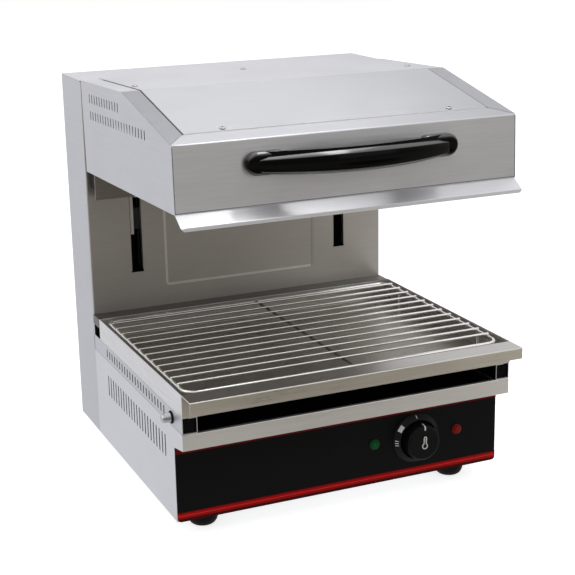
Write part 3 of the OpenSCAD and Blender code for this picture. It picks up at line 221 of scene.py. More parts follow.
finishes = {
    # the sheet parts: the same even satin, with tints on some of their faces
    # the casing's top faces are painted a shade darker, for how the light falls on them
    "casing_steel": brushedSteel("brushedStainlessCasing", "#DCDCDF", "#D3D3D6", patches=[
        ("Z", {}, (0.92, 0.92, 0.93))]),
    # the column's front is painted darker and warmer as shade, its bead lighter as a painted highlight, and the bead's
    # right edge darker as its painted shadow
    "column_steel": brushedSteel("brushedStainlessColumn", "#DADADD", "#D1D1D4", patches=[  # darker, warmer front
        ("Y", {"Y": (148.2, 149.2)}, (0.86, 0.82, 0.75)), ("Y", {"Y": (147.3, 148.19)}, (1.3, 1.25, 1.13)),
        ("Y", {"Y": (147.3, 148.19), "X": (110, 118)}, (0.6, 0.6, 0.6))]),
    # the trim band's front is tinted warm: a painted reflection of the warm front as much as its finish
    "base_steel": brushedSteel("brushedStainlessBase", "#ECECEF", "#E4E4E7", patches=[
        ("Y", {"Y": (-218, -214)}, (1.03, 1.0, 0.94))]),
    "rail_steel": brushedSteel("brushedStainlessRail", "#DCDCDF", "#D3D3D6", patches=[  # inner faces painted nearly black, as shade in the gap between the rails
        ("X", {"X": (-224.2, 224.2)}, (0.04, 0.04, 0.04))]),
    "ledge_steel": brushedSteel("darkenedLedge", "#7C7C76", "#6E6E68", rough=0.4),  # dull dark grey
    # the roof's slope and flat top are painted darker for how the light falls on them, and the cover's front edge
    # lighter as a painted highlight
    "hood_steel": brushedSteel("brushedStainlessHood", "#DEDEE1", "#D5D5D8", patches=[
        ("Z", {"Y": (-260, -38.1)}, (0.76, 0.765, 0.77)), ("Z", {"Y": (-38.1, 150)}, (0.88, 0.88, 0.89)),
        ("Y", {"Y": (-191, -187.5)}, (1.35, 1.35, 1.35))]),
    "flange_steel": brushedSteel("crossBrushedFlange", "#ACACB0", "#A1A1A6", crosswise=True),  # painted greyer as shade, other grain
    "lip_steel": brushedSteel("brightStainlessLip", "#EEEEF0", "#E7E7EA", rough=0.33, metal=0.65),  # painted paler for the bright sky it reflects; faint streaks
    "plate_steel": brushedSteel("brushedStainlessCarriage", "#A39C94", "#958F87", rough=0.4),  # painted darker and warmer, as shade behind the hood
    # the tray's colour and its floor are painted darker and warmer as shade under the hood, and its sides and front
    # lighter as painted light
    "tray_steel": brushedSteel("brushedStainlessTray", "#CFCDC8", "#C4C2BD", rough=0.3, patches=[  # darker floor
        ("X", {"X": (-226.5, -223.6)}, (1.45, 1.47, 1.55)), ("X", {"X": (223.6, 226.5)}, (1.45, 1.47, 1.55)),
        ("Z", {"Z": (150, 178)}, (0.6, 0.57, 0.53)), ("Y", {"Y": (-260, -200)}, (1.25, 1.2, 1.12))]),
    "reflector_steel": brushedSteel("aluminisedReflector", "#C9C7C2", "#B1AEA7", rough=0.35, grainMm=3),  # silvery
    # bare and plated metals
    "arm_steel": evenGrain("passivatedArmPlate", "#DEDCD2", "#CFCDC3", 0.5, 2, 0.35),  # pale, dry zinc
    "rod_steel": evenGrain("oiledRodSteel", "#1E1E20", "#161617", 0.3, 2, 1.0),  # painted dark, as shade inside the column
    "galvanised": evenGrain("zincCoatedSheet", "#B9BBBD", "#A3A6A9", 0.45, 4, 0.8),  # faint spangle
    "zinc": evenGrain("zincPlating", "#C3C5C8", "#AEB0B4", 0.3, 1.5, 1.0),  # bluish bright screws
    "bright_chrome": evenGrain("nickelPlating", "#D9D9DA", "#C4C4C6", 0.18, 2, 1.0, spread=0.04),  # nearly a mirror
    "screw_steel": evenGrain("stainlessScrew", "#BCBCC0", "#A6A6AA", 0.3, 1.5, 1.0),  # darker than the sheet
    "grid_wire": evenGrain("chromedWire", "#F8F7F4", "#E8E6E2", 0.2, 2, 0.95),  # bright glints
    "tinted_wire": evenGrain("heatTintedWire", "#8C7E6E", "#6A5E50", 0.4, 2, 0.8),  # darker and browner than the rods: painted shade
    "cable_steel": evenGrain("strandedSteelCable", "#8E8E92", "#6E6E72", 0.4, 1, 0.9),  # grey and greasy
    "element_sheath": evenGrain("heatTintedSheath", "#5E554C", "#4A433C", 0.45, 3, 0.7),  # brown oxide
    "weight_iron": evenGrain("sprayedSteelSlab", "#3C3C40", "#2E2E31", 0.55, 2, 0.2, bump=0.4),  # orange peel
    # black, red and white faces
    "black_enamel": evenGrain("blackEnamel", "#0D0D0E", "#070708", 0.5, 5),  # smooth fused glass, edge to edge
    "panel_black": evenGrain("satinBlackFoil", "#08080A", "#050506", 0.4, 1, shine=0.12, bump=0.05),  # fine satin
    "panel_red": printedShadedBand("printedRedBand", 0.45),
    "black_plastic": evenGrain("mouldedBlackNylon", "#101012", "#0A0A0B", 0.42, 1.2, shine=0.2),  # faint texture
    "plug_black": evenGrain("foamedPlug", "#060607", "#030304", 0.8, 1, shine=0.2),  # soaks up light
    "knob_black": evenGrain("mouldedBlackKnob", "#0A0A0B", "#060607", 0.38, 1.2, shine=0.15, bump=0.08),  # satin
    "handle_black": evenGrain("glossBlackPhenolic", "#050506", "#030303", 0.14, 3, spread=0.02, bump=0.02),  # glossy
    "lamp_green": evenGrain("greenLens", "#006A32", "#004C22", 0.3, 2, shine=0.15, spread=0.03, bump=0.05),  # unlit
    "lamp_red": evenGrain("redLens", "#A42018", "#84140E", 0.3, 2, shine=0.15, spread=0.03, bump=0.05),  # unlit
    "dial_white": evenGrain("printedWhiteMark", "#F2F2F0", "#E6E6E4", 0.5, 2, bump=0.05),  # matt pad print
    # insulation, seals and feet
    "ceramic": evenGrain("unglazedSteatite", "#E6E0D2", "#D6CFBF", 0.6, 1),  # dry, chalky, slightly warm
    "ceramic_wool": evenGrain("needledMineralWool", "#E9E7DE", "#CFCBBF", 0.95, 3, bump=0.9, depthMm=1),  # matted
    "lead_sleeve": evenGrain("glassFibreSleeve", "#CFC9BA", "#AFA898", 0.85, 1, bump=0.6),  # dry straw-coloured braid
    "seal_black": evenGrain("blackFeltSeal", "#0B0B0B", "#060606", 0.9, 1, bump=0.5),  # fuzzy, without any shine
    "seal_grey": evenGrain("greySealCord", "#5A5A5D", "#4C4C4F", 0.8, 1),  # painted shade in narrow joints and seams
    "foot_rubber": evenGrain("mouldedRubber", "#0A0A0A", "#050505", 0.6, 1.5, shine=0.15, bump=0.3),  # slightly grainy
    "nylon": evenGrain("filledNylon", "#2A2A2D", "#1E1E20", 0.5, 2),  # grey-black, waxy
}


# Glossy resin. Its shine is kept to the slopes, so that the upright face stays black in a pale room; the
# real gloss is even.
polish = {"ior": 1.8, "upright": 0.055, "sloping": 0.75, "startsAt": 0.3, "fullAt": 0.6}


def polishSlopes(material):
    tree = material.node_tree
    shader = tree.nodes["Principled BSDF"]
    shader.inputs["IOR"].default_value = polish["ior"]
    place = addNode(tree, "ShaderNodeTexCoord")
    facing = addNode(tree, "ShaderNodeSeparateXYZ", {}, {"Vector": place.outputs["Normal"]})
    level = addNode(tree, "ShaderNodeMath", {"operation": "ABSOLUTE"}, {0: facing.outputs["Z"]})
    share = addNode(tree, "ShaderNodeMapRange", {1: polish["startsAt"], 2: polish["fullAt"], 3: polish["upright"],
                                                 4: polish["sloping"]}, {0: level.outputs[0]})
    feedShader(tree, shader, {"Specular IOR Level": share.outputs[0]})


polishSlopes(finishes["handle_black"])
slotOf = {row["node"]: row["material_slot"] for row in frame["record"]["subparts"]}
bodyOf = {name: body for body, names in frame["record"]["behaviour"]["bodies"].items() for name in names}
ownFinish = {"rear_ledge": "ledge_steel"}
for nodeName, part in nodes.items():
    if not part.material_slots:
        part.data.materials.append(None)
    for place in part.material_slots:
        place.material = finishes[ownFinish.get(nodeName, slotOf[nodeName])]
print("materials are made")


def toMesh(name, shape):
    mesh = bpy.data.meshes.new(name)
    shape.to_mesh(mesh)
    shape.free()
    return mesh


def linkPiece(name, mesh, body, finish):
    mesh.materials.clear()
    mesh.materials.append(finishes[finish])
    piece = bpy.data.objects.new(name, mesh)
    bpy.context.scene.collection.objects.link(piece)
    if body:
        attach(piece, body)
    return piece


# a smoothAngle of 0 leaves every face flat; a piece takes its slot's finish unless it is given one of its own
def addMesh(name, mesh, body, slotName, replaced=(), smoothAngle=35, finish=None):
    for face in mesh.polygons:
        face.use_smooth = smoothAngle > 0
    if smoothAngle:
        mesh.set_sharp_from_angle(angle=radians(smoothAngle))
    piece = linkPiece(name, mesh, body, finish or slotName)
    if replaced:
        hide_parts(*replaced)
    return piece


def addPiece(name, shape, body, slotName, replaced=(), smoothAngle=35, finish=None):
    bmesh.ops.recalc_face_normals(shape, faces=shape.faces)
    return addMesh(name, toMesh(name, shape), body, slotName, replaced, smoothAngle, finish)


# joins meshes and finished shapes into one shape, and removes them
def joinMeshes(meshes, shape=None):
    if shape is None:
        shape = bmesh.new()
    for mesh in meshes:
        shape.from_mesh(mesh)
        bpy.data.meshes.remove(mesh)
    return shape


def joinShapes(shapes):
    return joinMeshes([toMesh("part", other) for other in shapes[1:]], shapes[0])


def roundOff(shape, items, size, steps, affect="EDGES", clamped=False):
    bmesh.ops.bevel(shape, geom=items, offset=size * mm, offset_type="OFFSET", segments=steps, profile=0.5,
                    affect=affect, material=-1, clamp_overlap=clamped)


# a turned part: the outline's points are radius and height, and it stands on z = 0
def turned(outline, steps=64):
    shape = bmesh.new()
    row = [shape.verts.new((r * mm, 0, z * mm)) for r, z in outline]
    edges = [shape.edges.new(pair) for pair in zip(row, row[1:])]
    bmesh.ops.spin(shape, geom=row + edges, axis=(0, 0, 1), angle=2 * pi, steps=steps, use_merge=True)
    bmesh.ops.remove_doubles(shape, verts=shape.verts, dist=0.001 * mm)
    return shape


# a plate with round corners, centred, from z = 0 to its thickness, its front edge rounded
def roundPlate(width, height, corner, thick, edge, cornerSteps=12, edgeSteps=6):
    shape = bmesh.new()
    bmesh.ops.create_grid(shape, x_segments=1, y_segments=1, size=0.5)
    bmesh.ops.scale(shape, vec=(width * mm, height * mm, 1), verts=shape.verts)
    roundOff(shape, shape.verts[:], corner, cornerSteps, "VERTICES")
    base = list(shape.faces)
    raised = bmesh.ops.extrude_face_region(shape, geom=base, use_keep_orig=True)["geom"]
    top = [item for item in raised if isinstance(item, bmesh.types.BMFace)]
    bmesh.ops.translate(shape, vec=(0, 0, thick * mm), verts=[v for face in top for v in face.verts])
    rim = [e for e in shape.edges if all(v.co.z > (thick - 0.01) * mm for v in e.verts)]
    roundOff(shape, rim, edge, edgeSteps)
    return shape


# a round wire along points in metres
def wireMesh(points, diameter, cyclic=False, sides=4):
    curve = bpy.data.curves.new("wire", "CURVE")
    curve.dimensions, curve.bevel_depth, curve.bevel_resolution = "3D", diameter / 2 * mm, sides
    curve.use_fill_caps = True
    spline = curve.splines.new("POLY")
    spline.points.add(len(points) - 1)
    for point, place in zip(spline.points, points):
        point.co = (*place, 1)
    spline.use_cyclic_u = cyclic
    holder = bpy.data.objects.new("wire", curve)
    mesh = bpy.data.meshes.new_from_object(holder)
    bpy.data.objects.remove(holder)
    bpy.data.curves.remove(curve)
    return mesh


def arcPoints(centre, radius, start, end, steps):
    angles = [radians(start + (end - start) * i / steps) for i in range(steps + 1)]
    return [(centre[0] + radius * cos(a), centre[1] + radius * sin(a)) for a in angles]


# turns a shape that stands on z = 0 so that it stands out of a front panel
def faceForward(shape, x, y, z):
    place = Matrix.Translation((x * mm, y * mm, z * mm)) @ Matrix.Rotation(pi / 2, 4, "X")
    bmesh.ops.transform(shape, matrix=place, verts=shape.verts)


# The hood has a frame of its own: across, forward as -y, and up, from its rear lower edge, in mm and degrees
hoodSeat = {"y": 138.754, "z": 404.8, "tilt": -1.9, "depth": 359.0}
roof = {"rear": 123.0, "front": 79.0, "bend": 181.0, "coverHalf": 199.5, "coverEnd": 331.0, "coverThick": 1.0,
        "half": 224.5}
roof["slope"] = (roof["rear"] - roof["front"]) / (hoodSeat["depth"] - roof["bend"])
hoodPlace = Matrix.Translation((0, hoodSeat["y"] * mm, hoodSeat["z"] * mm)) @ Matrix.Rotation(
    radians(hoodSeat["tilt"]), 4, "X")
toHood = hoodPlace.inverted()


def roofAt(forward):
    return roof["rear"] - max(forward - roof["bend"], 0) * roof["slope"]


column = {"rearFace": 239.654, "deep": 91.0, "half": 225.0}
coverY = column["rearFace"]  # depths below are measured forward from here
columnFront = coverY - column["deep"]

# wide bends and corners by their radius, and where they lie, in mm
folds = {"column_shell": 3.0, "hood_shell": 1.5, "drip_tray": 1.6, "base_shell": 1.4, "deflector_lip": 3.5}
foldAt = {"near": 0.03, "trayFront": -247.3, "trayTop": 200.9, "trimFront": -216.3, "trimTop": 149.9,
          "lipHalf": 223.5, "lipFront": -239.0}


def onFold(nodeName, point):
    near = foldAt["near"]
    if nodeName == "column_shell":
        return abs(abs(point.x) - column["half"]) < near and abs(point.y - columnFront) < near
    if nodeName == "hood_shell":
        place = toHood @ (point * mm) / mm
        return abs(place.y + hoodSeat["depth"]) < near and abs(place.z - roof["front"]) < near
    if nodeName == "drip_tray":
        return point.y < foldAt["trayFront"] and point.z > foldAt["trayTop"]
    if nodeName == "base_shell":
        return point.y < foldAt["trimFront"] and point.z > foldAt["trimTop"]
    return abs(abs(point.x) - foldAt["lipHalf"]) < near and point.y < foldAt["lipFront"]


# takes a packed sheet part, merges its points, and rounds its wide bends and then all its other edges
def foldedSheet(nodeName, edgeMm, merged):
    shape = bmesh.new()
    shape.from_mesh(nodes[nodeName].data)
    bmesh.ops.remove_doubles(shape, verts=shape.verts, dist=0.002 * mm)
    if merged:
        bmesh.ops.dissolve_limit(shape, angle_limit=radians(1), verts=shape.verts, edges=shape.edges)
    if nodeName in folds:
        bends = [e for e in shape.edges
                 if e.calc_face_angle(0) > 0.5 and all(onFold(nodeName, v.co / mm) for v in e.verts)]
        roundOff(shape, bends, folds[nodeName], 8)
    first, *rest = nodeName.split("_")
    piece = addMesh(first + "".join(word.capitalize() for word in rest), toMesh(first, shape), bodyOf[nodeName],
                    slotOf[nodeName], [nodeName], 0, ownFinish.get(nodeName))
    bevel = piece.modifiers.new("roundEdges", "BEVEL")
    bevel.width, bevel.segments, bevel.limit_method = edgeMm * mm, 2, "ANGLE"
    bevel.angle_limit, bevel.miter_outer = radians(12), "MITER_ARC"


# how far each sheet's edges are rounded, in mm; those with rows of vents keep their own triangles
sheetEdges = {"column_shell": 0.5, "column_top": 0.5, "rear_ledge": 0.5, "base_shell": 0.5, "rail_left": 0.45,
              "rail_right": 0.45, "control_panel": 0.4, "hood_shell": 0.45, "hood_cover": 0.49,
              "deflector_lip": 0.3, "carriage_plate": 0.6, "drip_tray": 0.55, "base_bottom": 0.3,
              "carriage_arms": 0.6, "reflector": 0.3}
ventedSheets = ["column_shell", "base_shell", "rail_left", "rail_right", "hood_shell", "base_bottom"]
for nodeName, edge in sheetEdges.items():
    foldedSheet(nodeName, edge, nodeName not in ventedSheets)
print("sheet parts have round edges")


# folded flanges beside the cover's slope, and dark strips on the seams between cover and shell: painted shade in their
# gaps
seam = {"slope": 1.7, "flat": 0.8, "proud": 0.45, "flangeThick": 0.35, "rearEnd": 20.0, "sunk": 0.1, "under": 0.3,
        "rim": 0.3, "mitre": 2.0}


# a thin plate on the hood's roof; its corners are across and forward, in mm
def roofPlate(corners, thick):
    shape = bmesh.new()
    base = shape.faces.new([shape.verts.new((x * mm, -f * mm, (roofAt(f) - seam["sunk"]) * mm)) for x, f in corners])
    raised = bmesh.ops.extrude_face_region(shape, geom=[base], use_keep_orig=True)["geom"]
    bmesh.ops.translate(shape, vec=(0, 0, (thick + seam["sunk"]) * mm),
                        verts=[item for item in raised if isinstance(item, bmesh.types.BMVert)])
    bmesh.ops.transform(shape, matrix=hoodPlace, verts=shape.verts)
    return shape


flanges, seams = [], []
for side in (-1, 1):
    inner, outer = roof["coverHalf"] + seam["slope"], roof["half"] - seam["rim"]
    mitre = hoodSeat["depth"] - seam["mitre"]
    flanges.append(roofPlate([(side * inner, roof["bend"]), (side * outer, roof["bend"]), (side * outer, mitre),
                              (side * inner, roof["coverEnd"])], seam["flangeThick"]))
    for width, start, end in ((seam["flat"], seam["rearEnd"], roof["bend"]),
                              (seam["slope"], roof["bend"], roof["coverEnd"])):
        edges = (roof["coverHalf"] - seam["under"], roof["coverHalf"] + width)
        seams.append(roofPlate([(side * edges[0], start), (side * edges[1], start), (side * edges[1], end),
                                (side * edges[0], end)], seam["proud"]))
addPiece("slopeFlanges", joinShapes(flanges), "hood", "hood_steel", (), 0, "flange_steel")
addPiece("coverSeals", joinShapes(seams), "hood", "seal_black", (), 0, "seal_grey")

# dark strips along the casing's sides, and thin dark joints where the hood's front meets its sides and its lip: painted
# shade in these gaps
sideJoint = {"half": 224.97, "deep": 0.9, "rail": 1.0, "column": 0.7, "railZ": 150.0, "low": 25.5, "high": 170.5,
             "front": 455.0, "back": 1.5}
frontJoint = {"x": 223.55, "half": 0.35, "proud": 0.06, "deep": 0.4, "low": 1.5, "drop": 2.0, "lipLow": 0.9,
              "lipHigh": 1.6}


def makeJoint(low, high):
    shape = bmesh.new()
    bmesh.ops.create_cube(shape, size=1)
    bmesh.ops.scale(shape, vec=[(b - a) * mm for a, b in zip(low, high)], verts=shape.verts)
    bmesh.ops.translate(shape, vec=[(a + b) / 2 * mm for a, b in zip(low, high)], verts=shape.verts)
    return shape


def addSideJoints():
    j = sideJoint
    front, back = coverY - j["front"], columnFront - j["back"]
    cords = []
    for side in (-1, 1):
        left, right = sorted((side * (j["half"] - j["deep"]), side * j["half"]))
        half = j["rail"] / 2
        cords.append(makeJoint((left, front, j["railZ"] - half), (right, back, j["railZ"] + half)))
        half = j["column"] / 2
        cords.append(makeJoint((left, columnFront - half, j["low"]), (right, columnFront + half, j["high"])))
    addPiece("sideJoints", joinShapes(cords), "stand", "seal_black", (), 0, "seal_grey")


def addFrontJoints():
    j = frontJoint
    front, back = -hoodSeat["depth"] - j["proud"], -hoodSeat["depth"] + j["deep"]
    cords = [makeJoint((side * j["x"] - j["half"], front, j["low"]),
                       (side * j["x"] + j["half"], back, roof["front"] - j["drop"])) for side in (-1, 1)]
    reach = j["x"] + j["half"]
    cords.append(makeJoint((-reach, front, j["lipLow"]), (reach, back, j["lipHigh"])))
    shape = joinShapes(cords)
    bmesh.ops.transform(shape, matrix=hoodPlace, verts=shape.verts)
    addPiece("frontJoints", shape, "hood", "seal_black", (), 0, "seal_grey")


addSideJoints()
addFrontJoints()
print("flanges and seams are made")


handle = {"height": 50.0, "gripDrop": 1.9, "out": 38.9, "gripHeight": 27.2, "gripThick": 13.0, "faceHeight": 18.6,
          "bevelDeep": 5.4, "bowRadius": 292.0, "halfReach": 128.0, "endRound": 8.0, "taper": 0.29,
          "taperReach": 125.0, "fingerRadius": 148.7, "fingerReach": 84.0, "footHeight": 24.0, "footEdge": 2.2,
          "bossX": 126.0, "padX": 111.6, "padWidth": 53.0, "padHeight": 28.0, "padCorner": 13.9, "padOut": 12.0,
          "padEdge": 6.0, "padRise": 0.4}


# half of the grip's section: forward and upward, from the middle of its back to the middle of its face
def gripSection():
    half, top, face = handle["gripThick"] / 2, handle["gripHeight"] / 2, handle["faceHeight"] / 2
    ridge, backRound = half - handle["bevelDeep"], 2
    return [(-half, top - backRound)] + arcPoints((-half + backRound, top - backRound), backRound, 180, 90, 5)[1:] + [
        (ridge - 1.2, top), (ridge - 0.2, top - 0.15), (ridge + 0.8, top - 0.6), (half - 1.1, face + 0.9),
        (half - 0.4, face + 0.15), (half - 0.05, face - 0.8)]


def makeGrip(bowCentre):
    half = asin(handle["halfReach"] / handle["bowRadius"])
    upper = gripSection()
    ring = upper + [(u, -v) for u, v in reversed(upper)]
    grip = bmesh.new()
    points = [grip.verts.new(((handle["bowRadius"] + u) * mm, 0, v * mm)) for u, v in ring]
    for pair in zip(points, points[1:] + points[:1]):
        grip.edges.new(pair)
    bmesh.ops.transform(grip, matrix=Matrix.Rotation(-half - pi / 2, 4, "Z"), verts=grip.verts)
    bmesh.ops.spin(grip, geom=grip.verts[:] + grip.edges[:], axis=(0, 0, 1), angle=2 * half, steps=160)
    bmesh.ops.holes_fill(grip, edges=grip.edges, sides=0)
    bmesh.ops.translate(grip, vec=(0, -bowCentre * mm, 0), verts=grip.verts)
    bend = handle["halfReach"] - handle["endRound"]
    for point in grip.verts:  # the grip narrows towards its ends, which are round seen from the front
        off = abs(point.co.x) / mm
        past = min(max((off - bend) / handle["endRound"], 0), 1)
        lost = handle["endRound"] * (1 - (1 - past * past) ** 0.5)
        narrow = 1 - handle["taper"] * (off / handle["taperReach"]) ** 2
        point.co.z *= narrow * (1 - lost / (handle["gripHeight"] / 2 * narrow))
        point.co.z -= handle["gripDrop"] * mm
    return grip


# an upright wall, bowed about a point behind the panel
def addBowedWall(shape, radius, centre, reach, steps):
    halfTurn = asin(reach / radius)
    start = Matrix.Rotation(-halfTurn, 3, "Z") @ Vector((0, -radius * mm, 0))
    verts = [shape.verts.new((start.x, start.y, z * handle["footHeight"] / 2 * mm)) for z in (-1, 1)]
    edge = shape.edges.new(verts)
    before = set(shape.faces)
    bmesh.ops.spin(shape, geom=verts + [edge], axis=(0, 0, 1), angle=2 * halfTurn, steps=steps)
    moved = {v for face in shape.faces if face not in before for v in face.verts}
    bmesh.ops.translate(shape, vec=(0, -centre * mm, 0), verts=list(moved))


# the feet between panel and grip: a wall under the fingers, and one behind the grip
def makeFeet(bowCentre):
    front, reach, finger = hoodSeat["depth"], handle["bossX"], handle["fingerReach"]
    shape = bmesh.new()
    addBowedWall(shape, handle["fingerRadius"],
                 front + handle["out"] - handle["gripThick"] - handle["fingerRadius"], finger, 60)
    for side in (-1, 1):  # this wall meets the panel, then runs along it
        tip = [e for e in shape.edges if e.is_boundary and abs(e.verts[0].co.x - e.verts[1].co.x) < 1e-7
               and e.verts[0].co.x * side > (finger - 0.5) * mm]
        for step in (1, 2):
            grown = bmesh.ops.extrude_edge_only(shape, edges=tip)["geom"]
            tip = [item for item in grown if isinstance(item, bmesh.types.BMEdge)]
            for point in grown:
                if isinstance(point, bmesh.types.BMVert):
                    point.co.x = side * (finger + (reach - finger) * step / 2) * mm
                    point.co.y = -front * mm
    addBowedWall(shape, handle["bowRadius"], bowCentre, reach, 64)
    bmesh.ops.bridge_loops(shape, edges=[e for e in shape.edges if e.is_boundary])
    bmesh.ops.remove_doubles(shape, verts=shape.verts, dist=0.001 * mm)
    corners = [e for e in shape.edges if len(e.link_faces) == 2 and e.calc_face_angle() > radians(50)]
    roundOff(shape, corners, handle["footEdge"], 4, clamped=True)
    return shape


def makePad(side):
    pad = roundPlate(handle["padWidth"], handle["padHeight"], handle["padCorner"], handle["padOut"],
                     handle["padEdge"])
    faceForward(pad, side * handle["padX"], -hoodSeat["depth"], handle["padRise"])
    return pad


bowCentre = hoodSeat["depth"] + handle["out"] - handle["gripThick"] / 2 - handle["bowRadius"]
for name, shapes, replaced in (("bowedHandle", [makeGrip(bowCentre), makeFeet(bowCentre)], ["hood_handle"]),
                               ("handlePads", [makePad(-1), makePad(1)], ())):
    shape = joinShapes(shapes)
    bmesh.ops.translate(shape, vec=(0, 0, handle["height"] * mm), verts=shape.verts)
    bmesh.ops.transform(shape, matrix=hoodPlace, verts=shape.verts)
    addPiece(name, shape, "hood", "handle_black", replaced, 40)
print("handle is made")


controls = {"x": 105.0, "z": 77.5, "panelY": -186.346}


def placeControl(shape, x=0.0, rise=0.0):
    faceForward(shape, controls["x"] + x, controls["panelY"], controls["z"] + rise)


# a strip of print along a turned outline: radius and height, a little proud, over an angle in degrees
def printedStrip(outline, angle, spread, proud=0.08, steps=6):
    outer, inner = [], []
    for i, (r, z) in enumerate(outline):
        before, after = outline[max(i - 1, 0)], outline[min(i + 1, len(outline) - 1)]
        along = Vector((after[0] - before[0], after[1] - before[1])).normalized()
        outer.append((r + along.y * proud, z - along.x * proud))
        inner.append((r - along.y * proud, z + along.x * proud))
    shape = bmesh.new()
    ring = [shape.verts.new((r * mm, 0, z * mm)) for r, z in outer + inner[::-1]]
    for pair in zip(ring, ring[1:] + ring[:1]):
        shape.edges.new(pair)
    bmesh.ops.rotate(shape, matrix=Matrix.Rotation(radians(90 - angle - spread / 2), 3, "Z"), verts=shape.verts)
    bmesh.ops.spin(shape, geom=shape.verts[:] + shape.edges[:], axis=(0, 0, 1), angle=radians(spread), steps=steps)
    bmesh.ops.holes_fill(shape, edges=shape.edges, sides=0)
    return shape


def addPrint(name, shape, body):
    placeControl(shape)
    bmesh.ops.recalc_face_normals(shape, faces=shape.faces)
    linkPiece(name, toMesh(name, shape), body, "dial_white")


# marks lie on the bezel's slope: angle from the top, clockwise, its spread, and its ends as shares of the slope
dial = {"inner": 26.0, "outer": 33.5, "rim": 1.2, "height": 7.5,
        "marks": [(-54, 17.0, 0.12, 0.92), (-87, 2.2, 0.1, 0.8), (-93, 2.2, 0.1, 0.8), (-99, 2.2, 0.1, 0.8),
                  (-3, 2.6, 0.1, 0.75)]}
crest, brim = (dial["inner"] + 1.6, dial["height"] - 0.3), (dial["outer"] - 1.3, dial["rim"] + 0.4)
bezel = turned([(dial["inner"], 0), (dial["outer"] - 0.3, 0), (dial["outer"], 0.3),
                (dial["outer"], dial["rim"] - 0.4), (dial["outer"] - 0.4, dial["rim"]), brim, crest,
                (dial["inner"] + 0.9, dial["height"]), (dial["inner"] + 0.3, dial["height"]),
                (dial["inner"], dial["height"] - 0.3), (dial["inner"], 0)], 96)
placeControl(bezel)
addPiece("dialBezel", bezel, "stand", "black_plastic", ["dial_bezel"])


def onSlope(share):
    return tuple(a + (b - a) * share for a, b in zip(brim, crest))


addPrint("dialMarks", joinShapes([printedStrip([onSlope(start), onSlope(end)], angle, spread)
                                  for angle, spread, start, end in dial["marks"]]), "stand")

# outlines are radius and height from the panel; the thermometer sign is in the plane of the face
knob = {"outline": [(3.02, 2.5), (24.2, 2.5), (24.5, 3.1), (24.2, 8), (23.8, 18), (23.4, 20.2), (22.6, 21.6),
                    (21.4, 22.6), (20.2, 22.95), (18.8, 22.85), (12, 22.5), (0, 22.5), (0, 17), (3.02, 17),
                    (3.02, 2.5)],
        "line": [(23.95, 14.5), (23.8, 18), (23.4, 20.2), (22.6, 21.6), (21.4, 22.6), (20.2, 22.95), (18.8, 22.85),
                 (17.6, 22.8)], "lineSpread": 5.4, "bulb": 3.5, "bulbY": -3.7, "tube": 1.7, "topY": 7.0,
        "signX": 1.0, "signZ": 22.65, "signWire": 1.5, "tickWire": 0.7, "tickX": (0.5, 2.3), "tickZ": 22.6,
        "tickY": (1.8, 3.6, 5.4), "turn": -3}
knobBody = turned(knob["outline"], 96)
placeControl(knobBody)
addPiece("thermostatKnob", knobBody, "knob", "knob_black", ["knob"], 30)


# white line over the knob's edge and the outline of a thermometer on its face
def makeKnobPrint():
    turn = degrees(asin(knob["tube"] / knob["bulb"]))
    outline = (arcPoints((0, knob["bulbY"]), knob["bulb"], 90 + turn, 450 - turn, 40)
               + arcPoints((0, knob["topY"]), knob["tube"], 0, 180, 16))
    sign = [wireMesh([((x + knob["signX"]) * mm, y * mm, knob["signZ"] * mm) for x, y in outline],
                     knob["signWire"], True, 3)]
    for y in knob["tickY"]:
        sign.append(wireMesh([(x * mm, y * mm, knob["tickZ"] * mm) for x in knob["tickX"]], knob["tickWire"], False, 2))
    shape = joinShapes([printedStrip(knob["line"], 0, knob["lineSpread"]), joinMeshes(sign)])
    bmesh.ops.rotate(shape, matrix=Matrix.Rotation(radians(knob["turn"]), 3, "Z"), verts=shape.verts)
    return shape


addPrint("knobMarks", makeKnobPrint(), "knob")

# the outline is how far in from the rim, and the height
lamp = {"apart": 60.5, "rise": 1.5, "radius": 7.0, "outline": [(0, 0), (0, 1.0), (0.3, 1.5), (1.6, 1.9), (1.7, 3.2),
                                                               (2.4, 4.2), (3.8, 4.8)], "height": 5.0}
for side, colour in ((-1, "green"), (1, "red")):
    lens = turned([(0, 0)] + [(lamp["radius"] - inward, z) for inward, z in lamp["outline"]] + [(0, lamp["height"])],
                  24)
    placeControl(lens, side * lamp["apart"], lamp["rise"])
    addPiece(colour + "Lens", lens, "stand", "lamp_" + colour, ["lamp_" + colour], 12)
print("controls are made")


# places on the hood are across and forward; twist turns each cross a little differently
screw = {"head": 7.5, "proud": 2.0, "slot": 1.1, "slotLength": 4.4, "slotDepth": 1.1,
         "cover": [(0, 21), (193.5, 138), (-193.5, 138), (149.5, 325), (-149.5, 325)], "coverTwist": 17 / 150,
         "rearX": 216.8, "rearLow": 47.0, "rearPitch": 150.5, "rearRows": 4}


